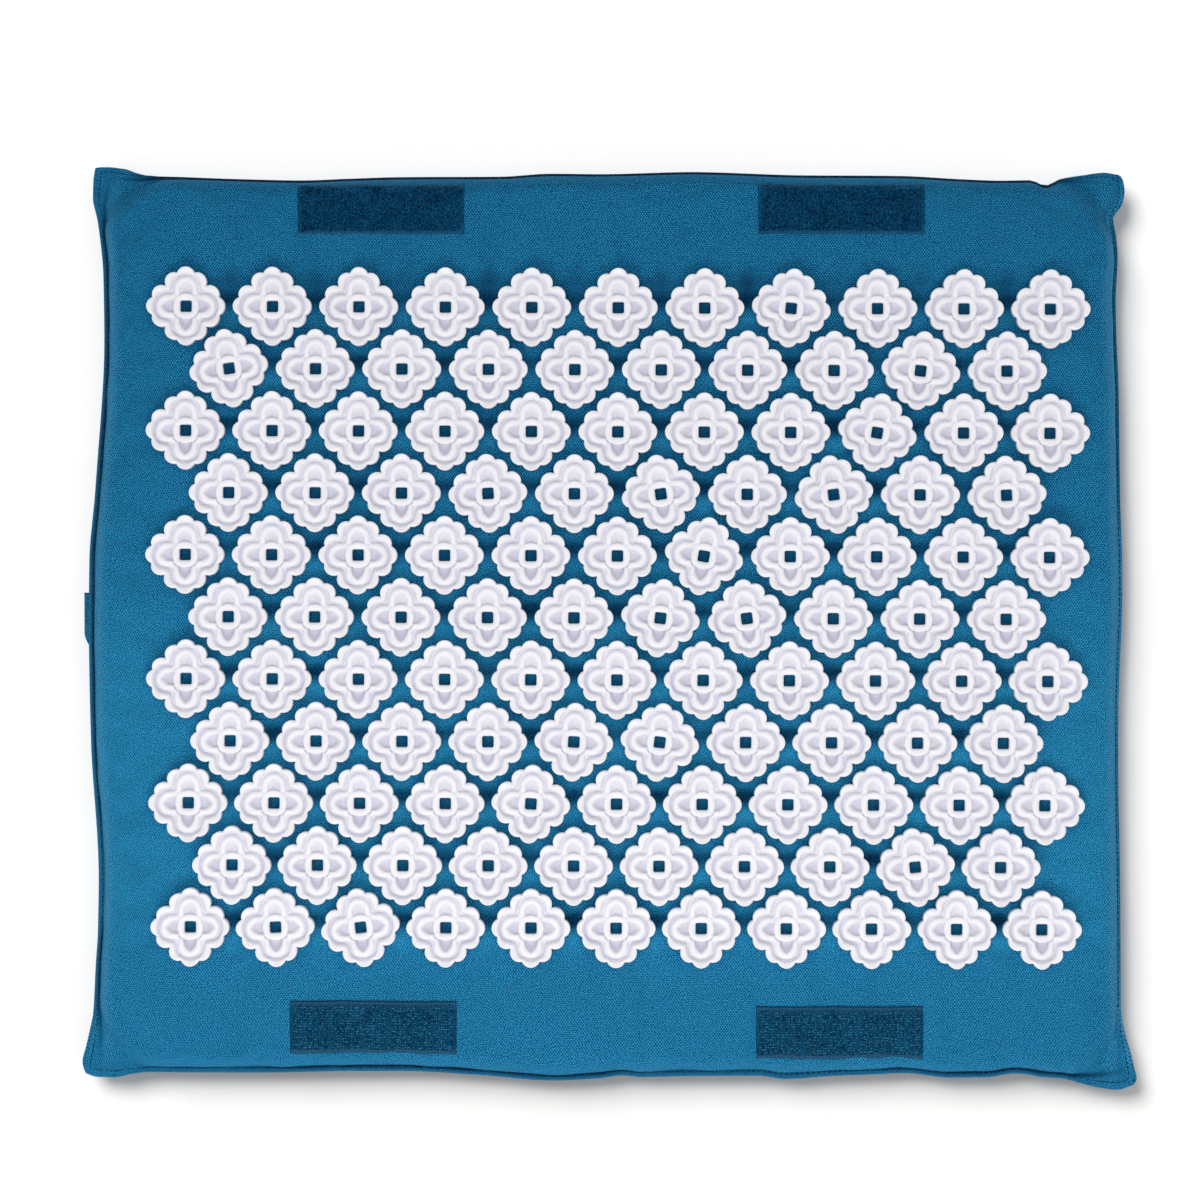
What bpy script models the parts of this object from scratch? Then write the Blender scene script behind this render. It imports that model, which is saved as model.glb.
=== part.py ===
"""Acupressure mat: a foam pad in a sewn canvas cover, with rows of petalled spike rosettes on its top face.

Metres, +Z up. +X runs along the long side and +Y towards the edge with the two loop patches. The origin is
the middle of the mat's outline, on the surface that the mat lies on.
"""

import math

import bmesh
import bpy
from mathutils import Matrix, Vector

MM = 0.001

# Pad and cover. The mat is as long and wide as its field of rosettes and the margins round it
PAD_THICKNESS = 20 * MM
FABRIC = 0.8 * MM
GAP = 0.3 * MM
SEAM_HEIGHT = 9.6 * MM
SHOULDER = 6.5 * MM
CORNER_ZONE = 18 * MM

# Seam flange: how wide it shows on each side, and how much more of it lies flat in the corner ears
FLANGE_LEFT = 3.0 * MM
FLANGE_BOTTOM = 2.6 * MM
FLANGE_RIGHT = 1.2 * MM
FLANGE_TOP = 1.0 * MM
EAR_LENGTH = 24 * MM
EAR_FLAT = 5 * MM

# Section of the cover above or below its flange: share of SHOULDER inwards, share of the rise
TOP_WALL_SHARES = ((0.0, 0.0), (0.12, 0.45), (0.42, 0.81), (1.0, 1.0))
BOTTOM_WALL_SHARES = ((0.0, 0.0), (0.1, 0.5), (0.4, 0.87), (1.0, 1.0))

# Edge of the flange, each side in turn, counter-clockwise from the lower left ear: share of the side's
# length, and share of EDGE_WAVE that the edge stands out of its straight line there
EDGE_WAVE = 5 * MM
BOTTOM_EDGE_SHARES = (
    (-0.013, -0.15),
    (0.002, 0.2),
    (0.016, 0.22),
    (0.034, -0.08),
    (0.16, -0.2),
    (0.345, -0.15),
    (0.424, 0.38),
    (0.5, 0.15),
    (0.55, -0.08),
    (0.69, 0.15),
    (0.78, -0.15),
    (0.933, 0.15),
    (0.972, 0.77),
    (0.994, 1.15),
    (1.013, 0.85),
)
RIGHT_EDGE_SHARES = (
    (-0.002, 1.28),
    (0.017, 1.0),
    (0.04, 0.6),
    (0.073, 0.12),
    (0.35, -0.08),
    (0.54, 0.17),
    (0.732, -0.08),
    (0.86, -0.3),
    (0.95, -0.42),
    (0.97, 0.23),
    (0.986, 0.43),
    (1.0, 0.23),
)
TOP_EDGE_SHARES = (
    (0.003, 0.36),
    (0.015, 0.5),
    (0.034, 0.2),
    (0.072, -0.5),
    (0.092, -0.23),
    (0.31, 0.08),
    (0.42, 0.42),
    (0.49, 0.23),
    (0.556, 0.31),
    (0.64, 0.0),
    (0.733, -0.2),
    (0.88, -0.15),
    (0.938, 0.22),
    (0.961, 0.12),
    (0.976, 0.8),
    (0.99, 0.93),
)
LEFT_EDGE_SHARES = (
    (-0.013, 0.13),
    (0.004, 0.31),
    (0.022, 0.31),
    (0.048, 0.0),
    (0.11, -0.48),
    (0.18, -0.54),
    (0.346, 0.15),
    (0.425, 0.5),
    (0.52, 0.57),
    (0.626, 0.5),
    (0.78, -0.12),
    (0.86, -0.08),
    (0.93, 0.25),
    (0.966, 0.77),
    (0.987, 1.12),
)

# Rosettes: one moulded disc each, its four lobes along X and Y
ROSETTE_SPAN = 30.3 * MM
ROSETTE_SPACING = 2.9 * MM
SPIKE_HEIGHT = 5.5 * MM
CREST_HEIGHT = 4.5 * MM
SADDLE_HEIGHT = 3.3 * MM
COLLAR_HEIGHT = 2.8 * MM
VALLEY_HEIGHT = 1.2 * MM
PIT_HEIGHT = 1.3 * MM
COLLAR_RADIUS = 4.7 * MM
HOLE_WIDTH = 4.4 * MM
SUNK_FOOT = 0.4 * MM

# Rings of a rosette over a quarter turn: share of the quarter, share of the tip radius
PETAL_SHARES = ((0.0, 1.0), (0.35, 0.93), (0.65, 0.93))
SHOULDER_PETAL_HEIGHT_SHARE = 0.94
NOTCH_SHARES = ((0.171, 0.885), (0.5, 0.74), (0.829, 0.885))
VALLEY_SHARES = ((0.19, 0.775), (0.5, 0.5), (0.81, 0.775))
CREST_SHARES = ((0.17, 0.685), (0.5, 0.385), (0.83, 0.685))
PIT_RADIUS_SHARE = 0.46

# Rosette field: rows of two lengths in turn, the first of them a long one
ROWS = 11
COLUMNS = 11
ROW_PITCH_SHARE = 0.718
FIELD_MARGIN_X = 16.85 * MM
FIELD_MARGIN_Y = 39.16 * MM
FIELD_OFFSET_X = 3.6 * MM
FIELD_OFFSET_Y = 3.4 * MM
FIELD_TURN_DEG = -0.2
LAST_ROW_DRAW_SHARE = 0.015

# Rosettes that sit askew, by row from the loop patches' edge and place from the left: degrees
ASKEW_DEG = {
    (0, 7): -5.5,
    (1, 0): 8.5,
    (1, 8): -6.5,
    (2, 8): -9,
    (3, 3): 3,
    (3, 5): 8.5,
    (3, 7): 8,
    (3, 9): 3.5,
    (4, 6): -9.5,
    (5, 5): -6.5,
    (5, 6): 7.5,
    (7, 4): -3,
    (7, 5): -6.5,
    (8, 4): -3.5,
    (9, 8): 6.5,
    (10, 1): 2.5,
    (10, 2): 7.5,
}

# Hook-and-loop patches: 20 mm tape
PATCH_LENGTH = 64 * MM
PATCH_WIDTH = 20 * MM
BENT_WIDTH_SHARE = 0.96
LOOP_THICKNESS = 2.0 * MM
HOOK_THICKNESS = 1.6 * MM
LOOP_INSET = 3.2 * MM
HOOK_INSET = 9.0 * MM
LOOP_LEFT_X = -87.3 * MM
LOOP_RIGHT_X = 89.9 * MM
HOOK_LEFT_X = -90.2 * MM
HOOK_RIGHT_X = 89.2 * MM
HOOK_RIGHT_DROP = 2.0 * MM

# Side tab: folded tape caught in the left seam
TAB_LENGTH = 22 * MM
TAB_THICKNESS = 0.8 * MM
TAB_REACH = 2.1 * MM
TAB_TONGUE = 2.2 * MM
TAB_OFFSET_Y = 2.5 * MM
TAB_CLEARANCE = 0.15 * MM
TAB_END_TAPER = 6 * MM
TAB_END_REACH_SHARE = 0.35
CUT_OVERRUN = 3 * MM

TIP_RADIUS = ROSETTE_SPAN / 2
COLUMN_PITCH = ROSETTE_SPAN + ROSETTE_SPACING
ROW_PITCH = COLUMN_PITCH * ROW_PITCH_SHARE
MAT_LENGTH = (COLUMNS - 1) * COLUMN_PITCH + ROSETTE_SPAN + 2 * FIELD_MARGIN_X
MAT_WIDTH = (ROWS - 1) * ROW_PITCH + ROSETTE_SPAN + 2 * FIELD_MARGIN_Y
FLANGE_FACE = GAP / 2 + FABRIC

CANVAS_BLUE = (0.013, 0.155, 0.31, 1.0)
LOOP_NAVY = (0.003, 0.028, 0.08, 1.0)
HOOK_NAVY = (0.006, 0.062, 0.135, 1.0)
SPIKE_WHITE = (0.86, 0.85, 0.9, 1.0)
FOAM_CREAM = (0.78, 0.74, 0.62, 1.0)


def clear_scene():
    for obj in list(bpy.data.objects):
        bpy.data.objects.remove(obj, do_unlink=True)


def new_collection(name):
    collection = bpy.data.collections.new(name)
    bpy.context.scene.collection.children.link(collection)
    return collection


def finish(name, color, roughness):
    material = bpy.data.materials.new(name)
    material.use_nodes = True
    shader = material.node_tree.nodes["Principled BSDF"]
    shader.inputs["Base Color"].default_value = color
    shader.inputs["Roughness"].default_value = roughness
    shader.inputs["Metallic"].default_value = 0.0
    material.diffuse_color = color
    return material


def add_object(name, mesh, collection, parent, material=None):
    obj = bpy.data.objects.new(name, mesh)
    collection.objects.link(obj)
    obj.parent = parent
    if material and not mesh.materials:
        mesh.materials.append(material)
    return obj


def mesh_from(bm, name):
    bmesh.ops.recalc_face_normals(bm, faces=bm.faces)
    mesh = bpy.data.meshes.new(name)
    bm.to_mesh(mesh)
    bm.free()
    return mesh


def make_helper(obj):
    obj.hide_render = True
    obj.display_type = "WIRE"
    return obj


def boolean(obj, operation, other):
    modifier = obj.modifiers.new(operation.title() + "_" + other.name, "BOOLEAN")
    modifier.operation = operation
    modifier.solver = "EXACT"
    modifier.object = other
    modifier.material_mode = "TRANSFER"


# Outline of the seam

def side_points(start, along, outward, length, flange, shares):
    """(point on the flange's edge, width of flange) for each chosen place on one side."""
    points = []
    for place_share, wave_share in shares:
        edge = start + along * (length * place_share) + outward * (EDGE_WAVE * wave_share)
        from_corner = min(abs(place_share), abs(1 - place_share)) * length
        ear_share = max(0.0, 1 - from_corner / EAR_LENGTH)
        points.append((edge, flange + EAR_FLAT * ear_share))
    return points


def seam_outline():
    half = Vector((MAT_LENGTH / 2, MAT_WIDTH / 2))
    right, up = Vector((1, 0)), Vector((0, 1))
    lower_left, lower_right = Vector((-half.x, -half.y)), Vector((half.x, -half.y))
    upper_right, upper_left = Vector((half.x, half.y)), Vector((-half.x, half.y))
    return (
        side_points(lower_left, right, -up, MAT_LENGTH, FLANGE_BOTTOM, BOTTOM_EDGE_SHARES)
        + side_points(lower_right, up, right, MAT_WIDTH, FLANGE_RIGHT, RIGHT_EDGE_SHARES)
        + side_points(upper_right, -right, up, MAT_LENGTH, FLANGE_TOP, TOP_EDGE_SHARES)
        + side_points(upper_left, -up, -right, MAT_WIDTH, FLANGE_LEFT, LEFT_EDGE_SHARES)
    )


def inward(point):
    """Step inwards from a point of the seam: square to a side, and on to the inset corner near a corner."""
    half_x, half_y = MAT_LENGTH / 2 - CORNER_ZONE, MAT_WIDTH / 2 - CORNER_ZONE
    nearest = Vector((min(max(point.x, -half_x), half_x), min(max(point.y, -half_y), half_y)))
    step = nearest - point
    return step / max(abs(step.x), abs(step.y))


def wall_profile(side):
    """(distance in from the flange, height over the seam's middle) of the cover's outer face."""
    shares = TOP_WALL_SHARES if side > 0 else BOTTOM_WALL_SHARES
    rise = PAD_THICKNESS - SEAM_HEIGHT if side > 0 else SEAM_HEIGHT
    return [
        (SHOULDER * in_share, FLANGE_FACE + (rise - FLANGE_FACE) * rise_share)
        for in_share, rise_share in shares
    ]


def inset(profile, depth):
    """The profile moved inwards by depth, square to its runs. Before and after its points it runs level."""
    level = Vector((1, 0))
    runs = [(Vector(after) - Vector(before)).normalized() for before, after in zip(profile, profile[1:])]
    normals = [Vector((run.y, -run.x)) for run in [level] + runs + [level]]
    return [
        Vector(point) + (first + second) / (1 + first.dot(second)) * depth
        for point, first, second in zip(profile, normals, normals[1:])
    ]


def edge_ring(bm, outline, height):
    return [bm.verts.new((edge.x, edge.y, height)) for edge, _ in outline]


def wall_ring(bm, outline, distance, height):
    """Points round the mat, at a distance in from the flange's inner line."""
    places = [edge + inward(edge) * (flange + distance) for edge, flange in outline]
    return [bm.verts.new((place.x, place.y, height)) for place in places]


def loft(bm, lower, upper):
    for i in range(len(lower)):
        bm.faces.new((lower[i - 1], lower[i], upper[i], upper[i - 1]))


def cover_face(bm, outline, profile, side):
    """Flange, wall, rounded shoulder and flat middle of one face of the cover. Returns the flange's edge."""
    stations = [(distance, SEAM_HEIGHT + side * height) for distance, height in profile]
    edge = edge_ring(bm, outline, stations[0][1])
    rings = [edge] + [wall_ring(bm, outline, *station) for station in stations]
    for lower, upper in zip(rings, rings[1:]):
        loft(bm, lower, upper)
    bm.faces.new(rings[-1])
    return edge


# Cover and foam

def cover_panel(name, outline, side, collection, parent, material):
    """A panel of canvas: its outer face, the same face set in by the fabric's thickness, and its edge."""
    bm = bmesh.new()
    outer = wall_profile(side)
    outer_edge = cover_face(bm, outline, outer, side)
    inner_edge = cover_face(bm, outline, inset(outer, FABRIC), side)
    loft(bm, inner_edge, outer_edge)
    return add_object(name, mesh_from(bm, name), collection, parent, material)


def foam_core(outline, collection, parent, material):
    """The foam fills the cover as far as the wall, where it stands free of the seam."""
    faces = {side: inset(wall_profile(side), FABRIC + GAP)[1:] for side in (-1, 1)}
    stations = [(distance, SEAM_HEIGHT - height) for distance, height in reversed(faces[-1])]
    stations += [(distance, SEAM_HEIGHT + height) for distance, height in faces[1]]
    bm = bmesh.new()
    rings = [wall_ring(bm, outline, *station) for station in stations]
    for lower, upper in zip(rings, rings[1:]):
        loft(bm, lower, upper)
    bm.faces.new(rings[0])
    bm.faces.new(rings[-1])
    return add_object("foam_core", mesh_from(bm, "foam_core"), collection, parent, material)


# Rosettes

def quarter_ring(bm, quarter_shares, height):
    """A closed ring from one quarter's points. The height is one value, or one for each point."""
    heights = height if isinstance(height, tuple) else (height,) * len(quarter_shares)
    ring = []
    for quarter in range(4):
        for (turn_share, radius_share), level in zip(quarter_shares, heights):
            angle = (quarter + turn_share) * math.pi / 2
            radius = TIP_RADIUS * radius_share
            ring.append(bm.verts.new((radius * math.cos(angle), radius * math.sin(angle), level)))
    return ring


def turn_of(vert):
    return math.atan2(vert.co.y, vert.co.x) % math.tau


def zip_rings(bm, outer, inner):
    """Joins two rings of unlike counts with triangles, always stepping on to the nearer next angle."""
    outer = sorted(outer, key=turn_of)
    inner = sorted(inner, key=turn_of)
    i = j = 0
    while i < len(outer) or j < len(inner):
        out_now, out_next = outer[i % len(outer)], outer[(i + 1) % len(outer)]
        in_now, in_next = inner[j % len(inner)], inner[(j + 1) % len(inner)]
        outer_turn = turn_of(out_next) + math.tau * ((i + 1) // len(outer))
        inner_turn = turn_of(in_next) + math.tau * ((j + 1) // len(inner))
        if j >= len(inner) or (i < len(outer) and outer_turn <= inner_turn):
            bm.faces.new((out_now, out_next, in_now))
            i += 1
        else:
            bm.faces.new((out_now, in_next, in_now))
            j += 1


def rosette_mesh(name, foot_depth):
    """One rosette, seated at height 0. Where it joins the cover, its foot reaches foot_depth below that."""
    bm = bmesh.new()
    side_petal = SPIKE_HEIGHT * SHOULDER_PETAL_HEIGHT_SHARE
    petals = quarter_ring(bm, PETAL_SHARES, (SPIKE_HEIGHT, side_petal, side_petal))
    notches = quarter_ring(bm, NOTCH_SHARES, 0.0)
    valley = quarter_ring(bm, VALLEY_SHARES, VALLEY_HEIGHT)
    crest = quarter_ring(bm, CREST_SHARES, (CREST_HEIGHT, SADDLE_HEIGHT, CREST_HEIGHT))
    pits = quarter_ring(bm, ((0.0, PIT_RADIUS_SHARE),), PIT_HEIGHT)
    collar_share = COLLAR_RADIUS / TIP_RADIUS
    collar = quarter_ring(bm, ((0.0, collar_share), (0.5, collar_share)), COLLAR_HEIGHT)
    corner_share = HOLE_WIDTH / math.sqrt(2) / TIP_RADIUS
    hole_top = quarter_ring(bm, ((0.5, corner_share),), COLLAR_HEIGHT)
    hole_foot = quarter_ring(bm, ((0.5, corner_share),), -foot_depth)
    for i in range(len(petals)):
        bm.faces.new((notches[i - 1], notches[i], petals[i]))
    zip_rings(bm, petals + notches, valley)
    zip_rings(bm, valley, crest)
    for lobe in range(4):
        around = [crest[3 * lobe + step - 2] for step in range(3)]
        around.append(crest[3 * lobe + 1])
        around += [collar[2 * lobe + 1], collar[2 * lobe], collar[2 * lobe - 1]]
        for first, second in zip(around, around[1:] + around[:1]):
            bm.faces.new((pits[lobe], first, second))
    zip_rings(bm, collar, hole_top)
    loft(bm, hole_foot, hole_top)
    foot = notches
    if foot_depth:
        foot = quarter_ring(bm, NOTCH_SHARES, -foot_depth)
        loft(bm, foot, notches)
    zip_rings(bm, foot, hole_foot)
    return mesh_from(bm, name)


def rosette_places():
    """(row, place in the row, matrix on the mat) of every rosette."""
    places = []
    turn = Matrix.Rotation(math.radians(FIELD_TURN_DEG), 4, "Z")
    middle = Matrix.Translation((FIELD_OFFSET_X, FIELD_OFFSET_Y, PAD_THICKNESS))
    for row in range(ROWS):
        columns = COLUMNS - row % 2
        down_share = max(0.0, 2 * row / max(ROWS - 1, 1) - 1)
        pitch = COLUMN_PITCH * (1 - LAST_ROW_DRAW_SHARE * down_share)
        y = ((ROWS - 1) / 2 - row) * ROW_PITCH
        for column in range(columns):
            x = (column - (columns - 1) / 2) * pitch
            askew = Matrix.Rotation(math.radians(ASKEW_DEG.get((row, column), 0.0)), 4, "Z")
            places.append((row, column, middle @ turn @ Matrix.Translation((x, y, 0.0)) @ askew))
    return places


def add_rosettes(collection, helpers, parent, material):
    """The shorter rows' rosettes get an object each. The rest come back as one mesh to join to the cover."""
    lift = Matrix.Translation((0.0, 0.0, GAP))
    single = rosette_mesh("rosette", 0.0)
    sunk = rosette_mesh("rosette_sunk", SUNK_FOOT)
    joined = bmesh.new()
    for row, column, place in rosette_places():
        if row % 2:
            name = f"spike_rosette_r{row + 1:02d}_c{column + 1:02d}"
            rosette = add_object(name, single, collection, parent, material)
            rosette.matrix_basis = lift @ place
        else:
            first_new = len(joined.verts)
            joined.from_mesh(sunk)
            joined.verts.ensure_lookup_table()
            bmesh.ops.transform(joined, matrix=place, verts=joined.verts[first_new:])
    mesh = bpy.data.meshes.new("joined_rosettes")
    joined.to_mesh(mesh)
    joined.free()
    return make_helper(add_object("joined_rosettes", mesh, helpers, parent, material))


# Patches and tab

def box_mesh(name, low, high):
    bm = bmesh.new()
    bmesh.ops.create_cube(bm, size=1.0)
    size, middle = high - low, (high + low) / 2
    bmesh.ops.scale(bm, vec=size, verts=bm.verts)
    bmesh.ops.translate(bm, vec=middle, verts=bm.verts)
    return mesh_from(bm, name)


def patch(name, outline, middle_x, near_y, far_y, thickness, collection, helpers, parent, material):
    """A strip of tape that follows the cover: its face lifted and thickened, cut to the tape's outline."""
    bm = bmesh.new()
    cover_face(bm, outline, wall_profile(1), 1)
    bmesh.ops.translate(bm, vec=(0.0, 0.0, GAP), verts=bm.verts)
    upper = bmesh.ops.extrude_face_region(bm, geom=bm.faces[:], use_keep_orig=True)["geom"]
    raised = [item for item in upper if isinstance(item, bmesh.types.BMVert)]
    bmesh.ops.translate(bm, vec=(0.0, 0.0, thickness), verts=raised)
    strip = add_object(name, mesh_from(bm, name), collection, parent, material)
    low = Vector((middle_x - PATCH_LENGTH / 2, near_y, 0.0))
    high = Vector((middle_x + PATCH_LENGTH / 2, far_y, PAD_THICKNESS + thickness + CUT_OVERRUN))
    outline_box = make_helper(add_object(name + "_outline", box_mesh(name, low, high), helpers, parent))
    boolean(strip, "INTERSECT", outline_box)
    return strip


def add_patches(outline, collection, helpers, parent, loop, hook):
    top_y, bottom_y = MAT_WIDTH / 2 - LOOP_INSET, -MAT_WIDTH / 2 + HOOK_INSET
    bent_width = PATCH_WIDTH * BENT_WIDTH_SHARE
    for name, x in (("loop_patch_left", LOOP_LEFT_X), ("loop_patch_right", LOOP_RIGHT_X)):
        patch(name, outline, x, top_y - bent_width, top_y, LOOP_THICKNESS, collection, helpers, parent, loop)
    hooks = (("hook_patch_left", HOOK_LEFT_X, 0.0), ("hook_patch_right", HOOK_RIGHT_X, HOOK_RIGHT_DROP))
    for name, x, drop in hooks:
        low = bottom_y - drop
        patch(name, outline, x, low, low + PATCH_WIDTH, HOOK_THICKNESS, collection, helpers, parent, hook)


def left_edge_x(outline, y):
    """Where the flange's left edge is at a height on the mat."""
    left = [edge for edge, _ in outline[-len(LEFT_EDGE_SHARES):]]
    for upper, lower in zip(left, left[1:]):
        if lower.y <= y <= upper.y:
            share = (upper.y - y) / (upper.y - lower.y)
            return upper.x + (lower.x - upper.x) * share
    return -MAT_LENGTH / 2


def tab_outline(outline, grow):
    """Corners of the tab in plan, its tongue inside the seam, each side moved out by grow."""
    top_y, low_y = TAB_OFFSET_Y + TAB_LENGTH / 2, TAB_OFFSET_Y - TAB_LENGTH / 2
    taper_y = low_y + TAB_END_TAPER
    inner = max(left_edge_x(outline, top_y), left_edge_x(outline, low_y)) + TAB_TONGUE + grow
    return (
        (inner, top_y + grow),
        (left_edge_x(outline, top_y) - TAB_REACH - grow, top_y + grow),
        (left_edge_x(outline, taper_y) - TAB_REACH - grow, taper_y),
        (left_edge_x(outline, low_y) - TAB_REACH * TAB_END_REACH_SHARE - grow, low_y - grow),
        (inner, low_y - grow),
    )


def tab_mesh(name, outline, grow):
    bm = bmesh.new()
    half = TAB_THICKNESS / 2 + grow
    lower = [bm.verts.new((x, y, SEAM_HEIGHT - half)) for x, y in tab_outline(outline, grow)]
    face = bm.faces.new(lower)
    upper = bmesh.ops.extrude_face_region(bm, geom=[face], use_keep_orig=True)["geom"]
    raised = [item for item in upper if isinstance(item, bmesh.types.BMVert)]
    bmesh.ops.translate(bm, vec=(0.0, 0.0, 2 * half), verts=raised)
    return mesh_from(bm, name)


def outline_middle(outline):
    edges = [edge for edge, _ in outline]
    tab_x = [x for x, _ in tab_outline(outline, 0.0)]
    xs = [edge.x for edge in edges] + tab_x
    ys = [edge.y for edge in edges]
    return Vector(((min(xs) + max(xs)) / 2, (min(ys) + max(ys)) / 2, 0.0))


def main():
    clear_scene()
    parts = new_collection("acupressure_mat")
    helpers = new_collection("cutters")
    canvas = finish("canvas", CANVAS_BLUE, 0.9)
    spikes = finish("spike_plastic", SPIKE_WHITE, 0.4)
    loop = finish("loop_tape", LOOP_NAVY, 0.95)
    hook = finish("hook_tape", HOOK_NAVY, 0.7)
    tape = finish("tab_tape", CANVAS_BLUE, 0.85)
    foam = finish("foam", FOAM_CREAM, 0.95)

    outline = seam_outline()
    mat = bpy.data.objects.new("mat", None)
    parts.objects.link(mat)
    mat.location = -outline_middle(outline)

    top = cover_panel("top_panel", outline, 1, parts, mat, canvas)
    bottom = cover_panel("bottom_panel", outline, -1, parts, mat, canvas)
    foam_core(outline, parts, mat, foam)
    add_patches(outline, parts, helpers, mat, loop, hook)

    add_object("side_tab", tab_mesh("side_tab", outline, 0.0), parts, mat, tape)
    pocket_mesh = tab_mesh("tab_pocket", outline, TAB_CLEARANCE)
    pocket = make_helper(add_object("tab_pocket", pocket_mesh, helpers, mat))
    for panel in (top, bottom):
        boolean(panel, "DIFFERENCE", pocket)

    boolean(top, "UNION", add_rosettes(parts, helpers, mat, spikes))


main()
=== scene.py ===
import math

import bmesh
import bpy
import numpy as np
from mathutils import Matrix, Vector, noise


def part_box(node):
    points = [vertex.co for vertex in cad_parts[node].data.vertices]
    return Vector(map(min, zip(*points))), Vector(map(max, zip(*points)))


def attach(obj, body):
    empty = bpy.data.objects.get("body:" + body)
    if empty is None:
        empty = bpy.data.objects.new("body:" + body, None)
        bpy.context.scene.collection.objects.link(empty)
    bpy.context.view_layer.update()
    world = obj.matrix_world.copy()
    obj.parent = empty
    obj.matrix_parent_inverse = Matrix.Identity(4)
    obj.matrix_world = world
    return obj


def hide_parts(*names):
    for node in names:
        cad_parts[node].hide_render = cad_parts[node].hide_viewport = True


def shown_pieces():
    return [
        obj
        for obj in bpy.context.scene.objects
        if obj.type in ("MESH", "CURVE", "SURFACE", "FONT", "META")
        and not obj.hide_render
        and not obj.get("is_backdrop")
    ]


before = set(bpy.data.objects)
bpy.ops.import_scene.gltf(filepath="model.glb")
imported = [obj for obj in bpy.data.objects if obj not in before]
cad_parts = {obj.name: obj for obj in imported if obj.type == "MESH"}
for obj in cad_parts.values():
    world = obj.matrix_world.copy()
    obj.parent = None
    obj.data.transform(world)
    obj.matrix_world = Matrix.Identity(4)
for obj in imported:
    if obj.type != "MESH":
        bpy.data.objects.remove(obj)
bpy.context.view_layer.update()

MM = 0.001

# ---------------------------------------------------------------- sizes of the mat

# The pad, the cover round it, the height of the seam and how far in the rounded wall reaches
PAD_THICKNESS = 20 * MM
FABRIC = 0.8 * MM
GAP = 0.3 * MM
SEAM_HEIGHT = 9.6 * MM
SHOULDER = 6.5 * MM
FLANGE_FACE = GAP / 2 + FABRIC

# Radius of the pad's rounded corners, in widths of the shoulder
CORNER_TURN = 1.6

# The field of rosettes, the canvas round it, and so the sides of the mat
ROSETTE_SPAN = 30.3 * MM
ROSETTE_SPACING = 2.9 * MM
ROWS = 11
COLUMNS = 11
COLUMN_PITCH = ROSETTE_SPAN + ROSETTE_SPACING
ROW_PITCH = COLUMN_PITCH * 0.718
END_MARGIN = 16.85 * MM
LONG_MARGIN = 39.16 * MM
MAT_LENGTH = (COLUMNS - 1) * COLUMN_PITCH + ROSETTE_SPAN + 2 * END_MARGIN
MAT_WIDTH = (ROWS - 1) * ROW_PITCH + ROSETTE_SPAN + 2 * LONG_MARGIN
HALF_LENGTH = MAT_LENGTH / 2
HALF_WIDTH = MAT_WIDTH / 2

# Where the field's middle lies, its turn, and how much its last row is drawn together
FIELD_OFFSET = (3.6 * MM, 3.4 * MM)
FIELD_TURN_DEG = -0.2
LAST_ROW_DRAW = 0.015

# Round a rosette's middle: the canvas that it holds down, where the canvas begins to wave and
# over what width, the canvas in its hole, darkened with painted shade; and how far the canvas lifts
# its foot
HELD_RADIUS = 12.2 * MM
FREE_RADIUS = 11.5 * MM
FREE_WIDTH = 6 * MM
HOLE_SHADE_RADIUS = 3.2 * MM
ROSETTE_LIFT = 0.15 * MM

# Flange of the seam, side by side, and the flat ears at the corners
FLANGE_LEFT = 2.5 * MM
FLANGE_BOTTOM = 2.8 * MM
FLANGE_RIGHT = 1.6 * MM
FLANGE_TOP = 1.0 * MM
EAR_LENGTH = 24 * MM
EAR_FLAT = 5 * MM
EDGE_WAVE = 5 * MM

# How far in from the edge its waves are followed
FADE_IN = 30 * MM

# Edge of the flange: (share of the side's length, share of EDGE_WAVE outwards)
BOTTOM_EDGE = (
    (-0.013, -0.15), (0.002, 0.25), (0.016, 0.27), (0.032, 0.03), (0.052, -0.15), (0.16, -0.11),
    (0.248, -0.23), (0.3, -0.22), (0.375, 0.09), (0.447, 0.51), (0.493, 0.33), (0.514, 0.12),
    (0.532, 0.25), (0.59, 0.17), (0.648, 0.15), (0.674, 0.4), (0.718, 0.17), (0.767, 0.02),
    (0.79, -0.06), (0.836, 0.29), (0.87, 0.25), (0.9, -0.06), (0.928, 0.25), (0.944, 0.33),
    (0.963, 0.71), (0.983, 1.1), (0.997, 1.22), (1.013, 0.88),
)
RIGHT_EDGE = (
    (-0.002, 1.34), (0.017, 1.08), (0.04, 0.63), (0.073, 0.2), (0.217, 0.15), (0.351, 0.0),
    (0.429, 0.08), (0.507, 0.28), (0.54, 0.33), (0.575, 0.3), (0.642, 0.13), (0.753, 0.05),
    (0.83, -0.15), (0.865, -0.2), (0.91, -0.05), (0.938, -0.2), (0.956, -0.42), (0.971, 0.27),
    (0.986, 0.5), (1.0, 0.32),
)
TOP_EDGE = (
    (0.003, 0.36), (0.015, 0.5), (0.036, 0.28), (0.056, 0.03), (0.072, -0.5), (0.086, -0.09),
    (0.115, -0.12), (0.154, 0.0), (0.213, 0.25), (0.311, 0.31), (0.42, 0.56), (0.507, 0.4),
    (0.556, 0.43), (0.605, 0.2), (0.703, 0.16), (0.752, 0.03), (0.801, -0.1), (0.86, 0.0),
    (0.919, 0.18), (0.948, 0.25), (0.9675, 0.63), (0.977, 0.82), (0.99, 0.93),
)
LEFT_EDGE = (
    (-0.013, 0.13), (0.004, 0.31), (0.022, 0.31), (0.05, -0.08), (0.11, -0.48), (0.18, -0.54),
    (0.346, 0.15), (0.425, 0.62), (0.5, 0.65), (0.626, 0.5), (0.78, -0.12), (0.84, -0.05),
    (0.875, 0.1), (0.93, 0.3), (0.966, 0.82), (0.987, 1.14),
)
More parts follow.
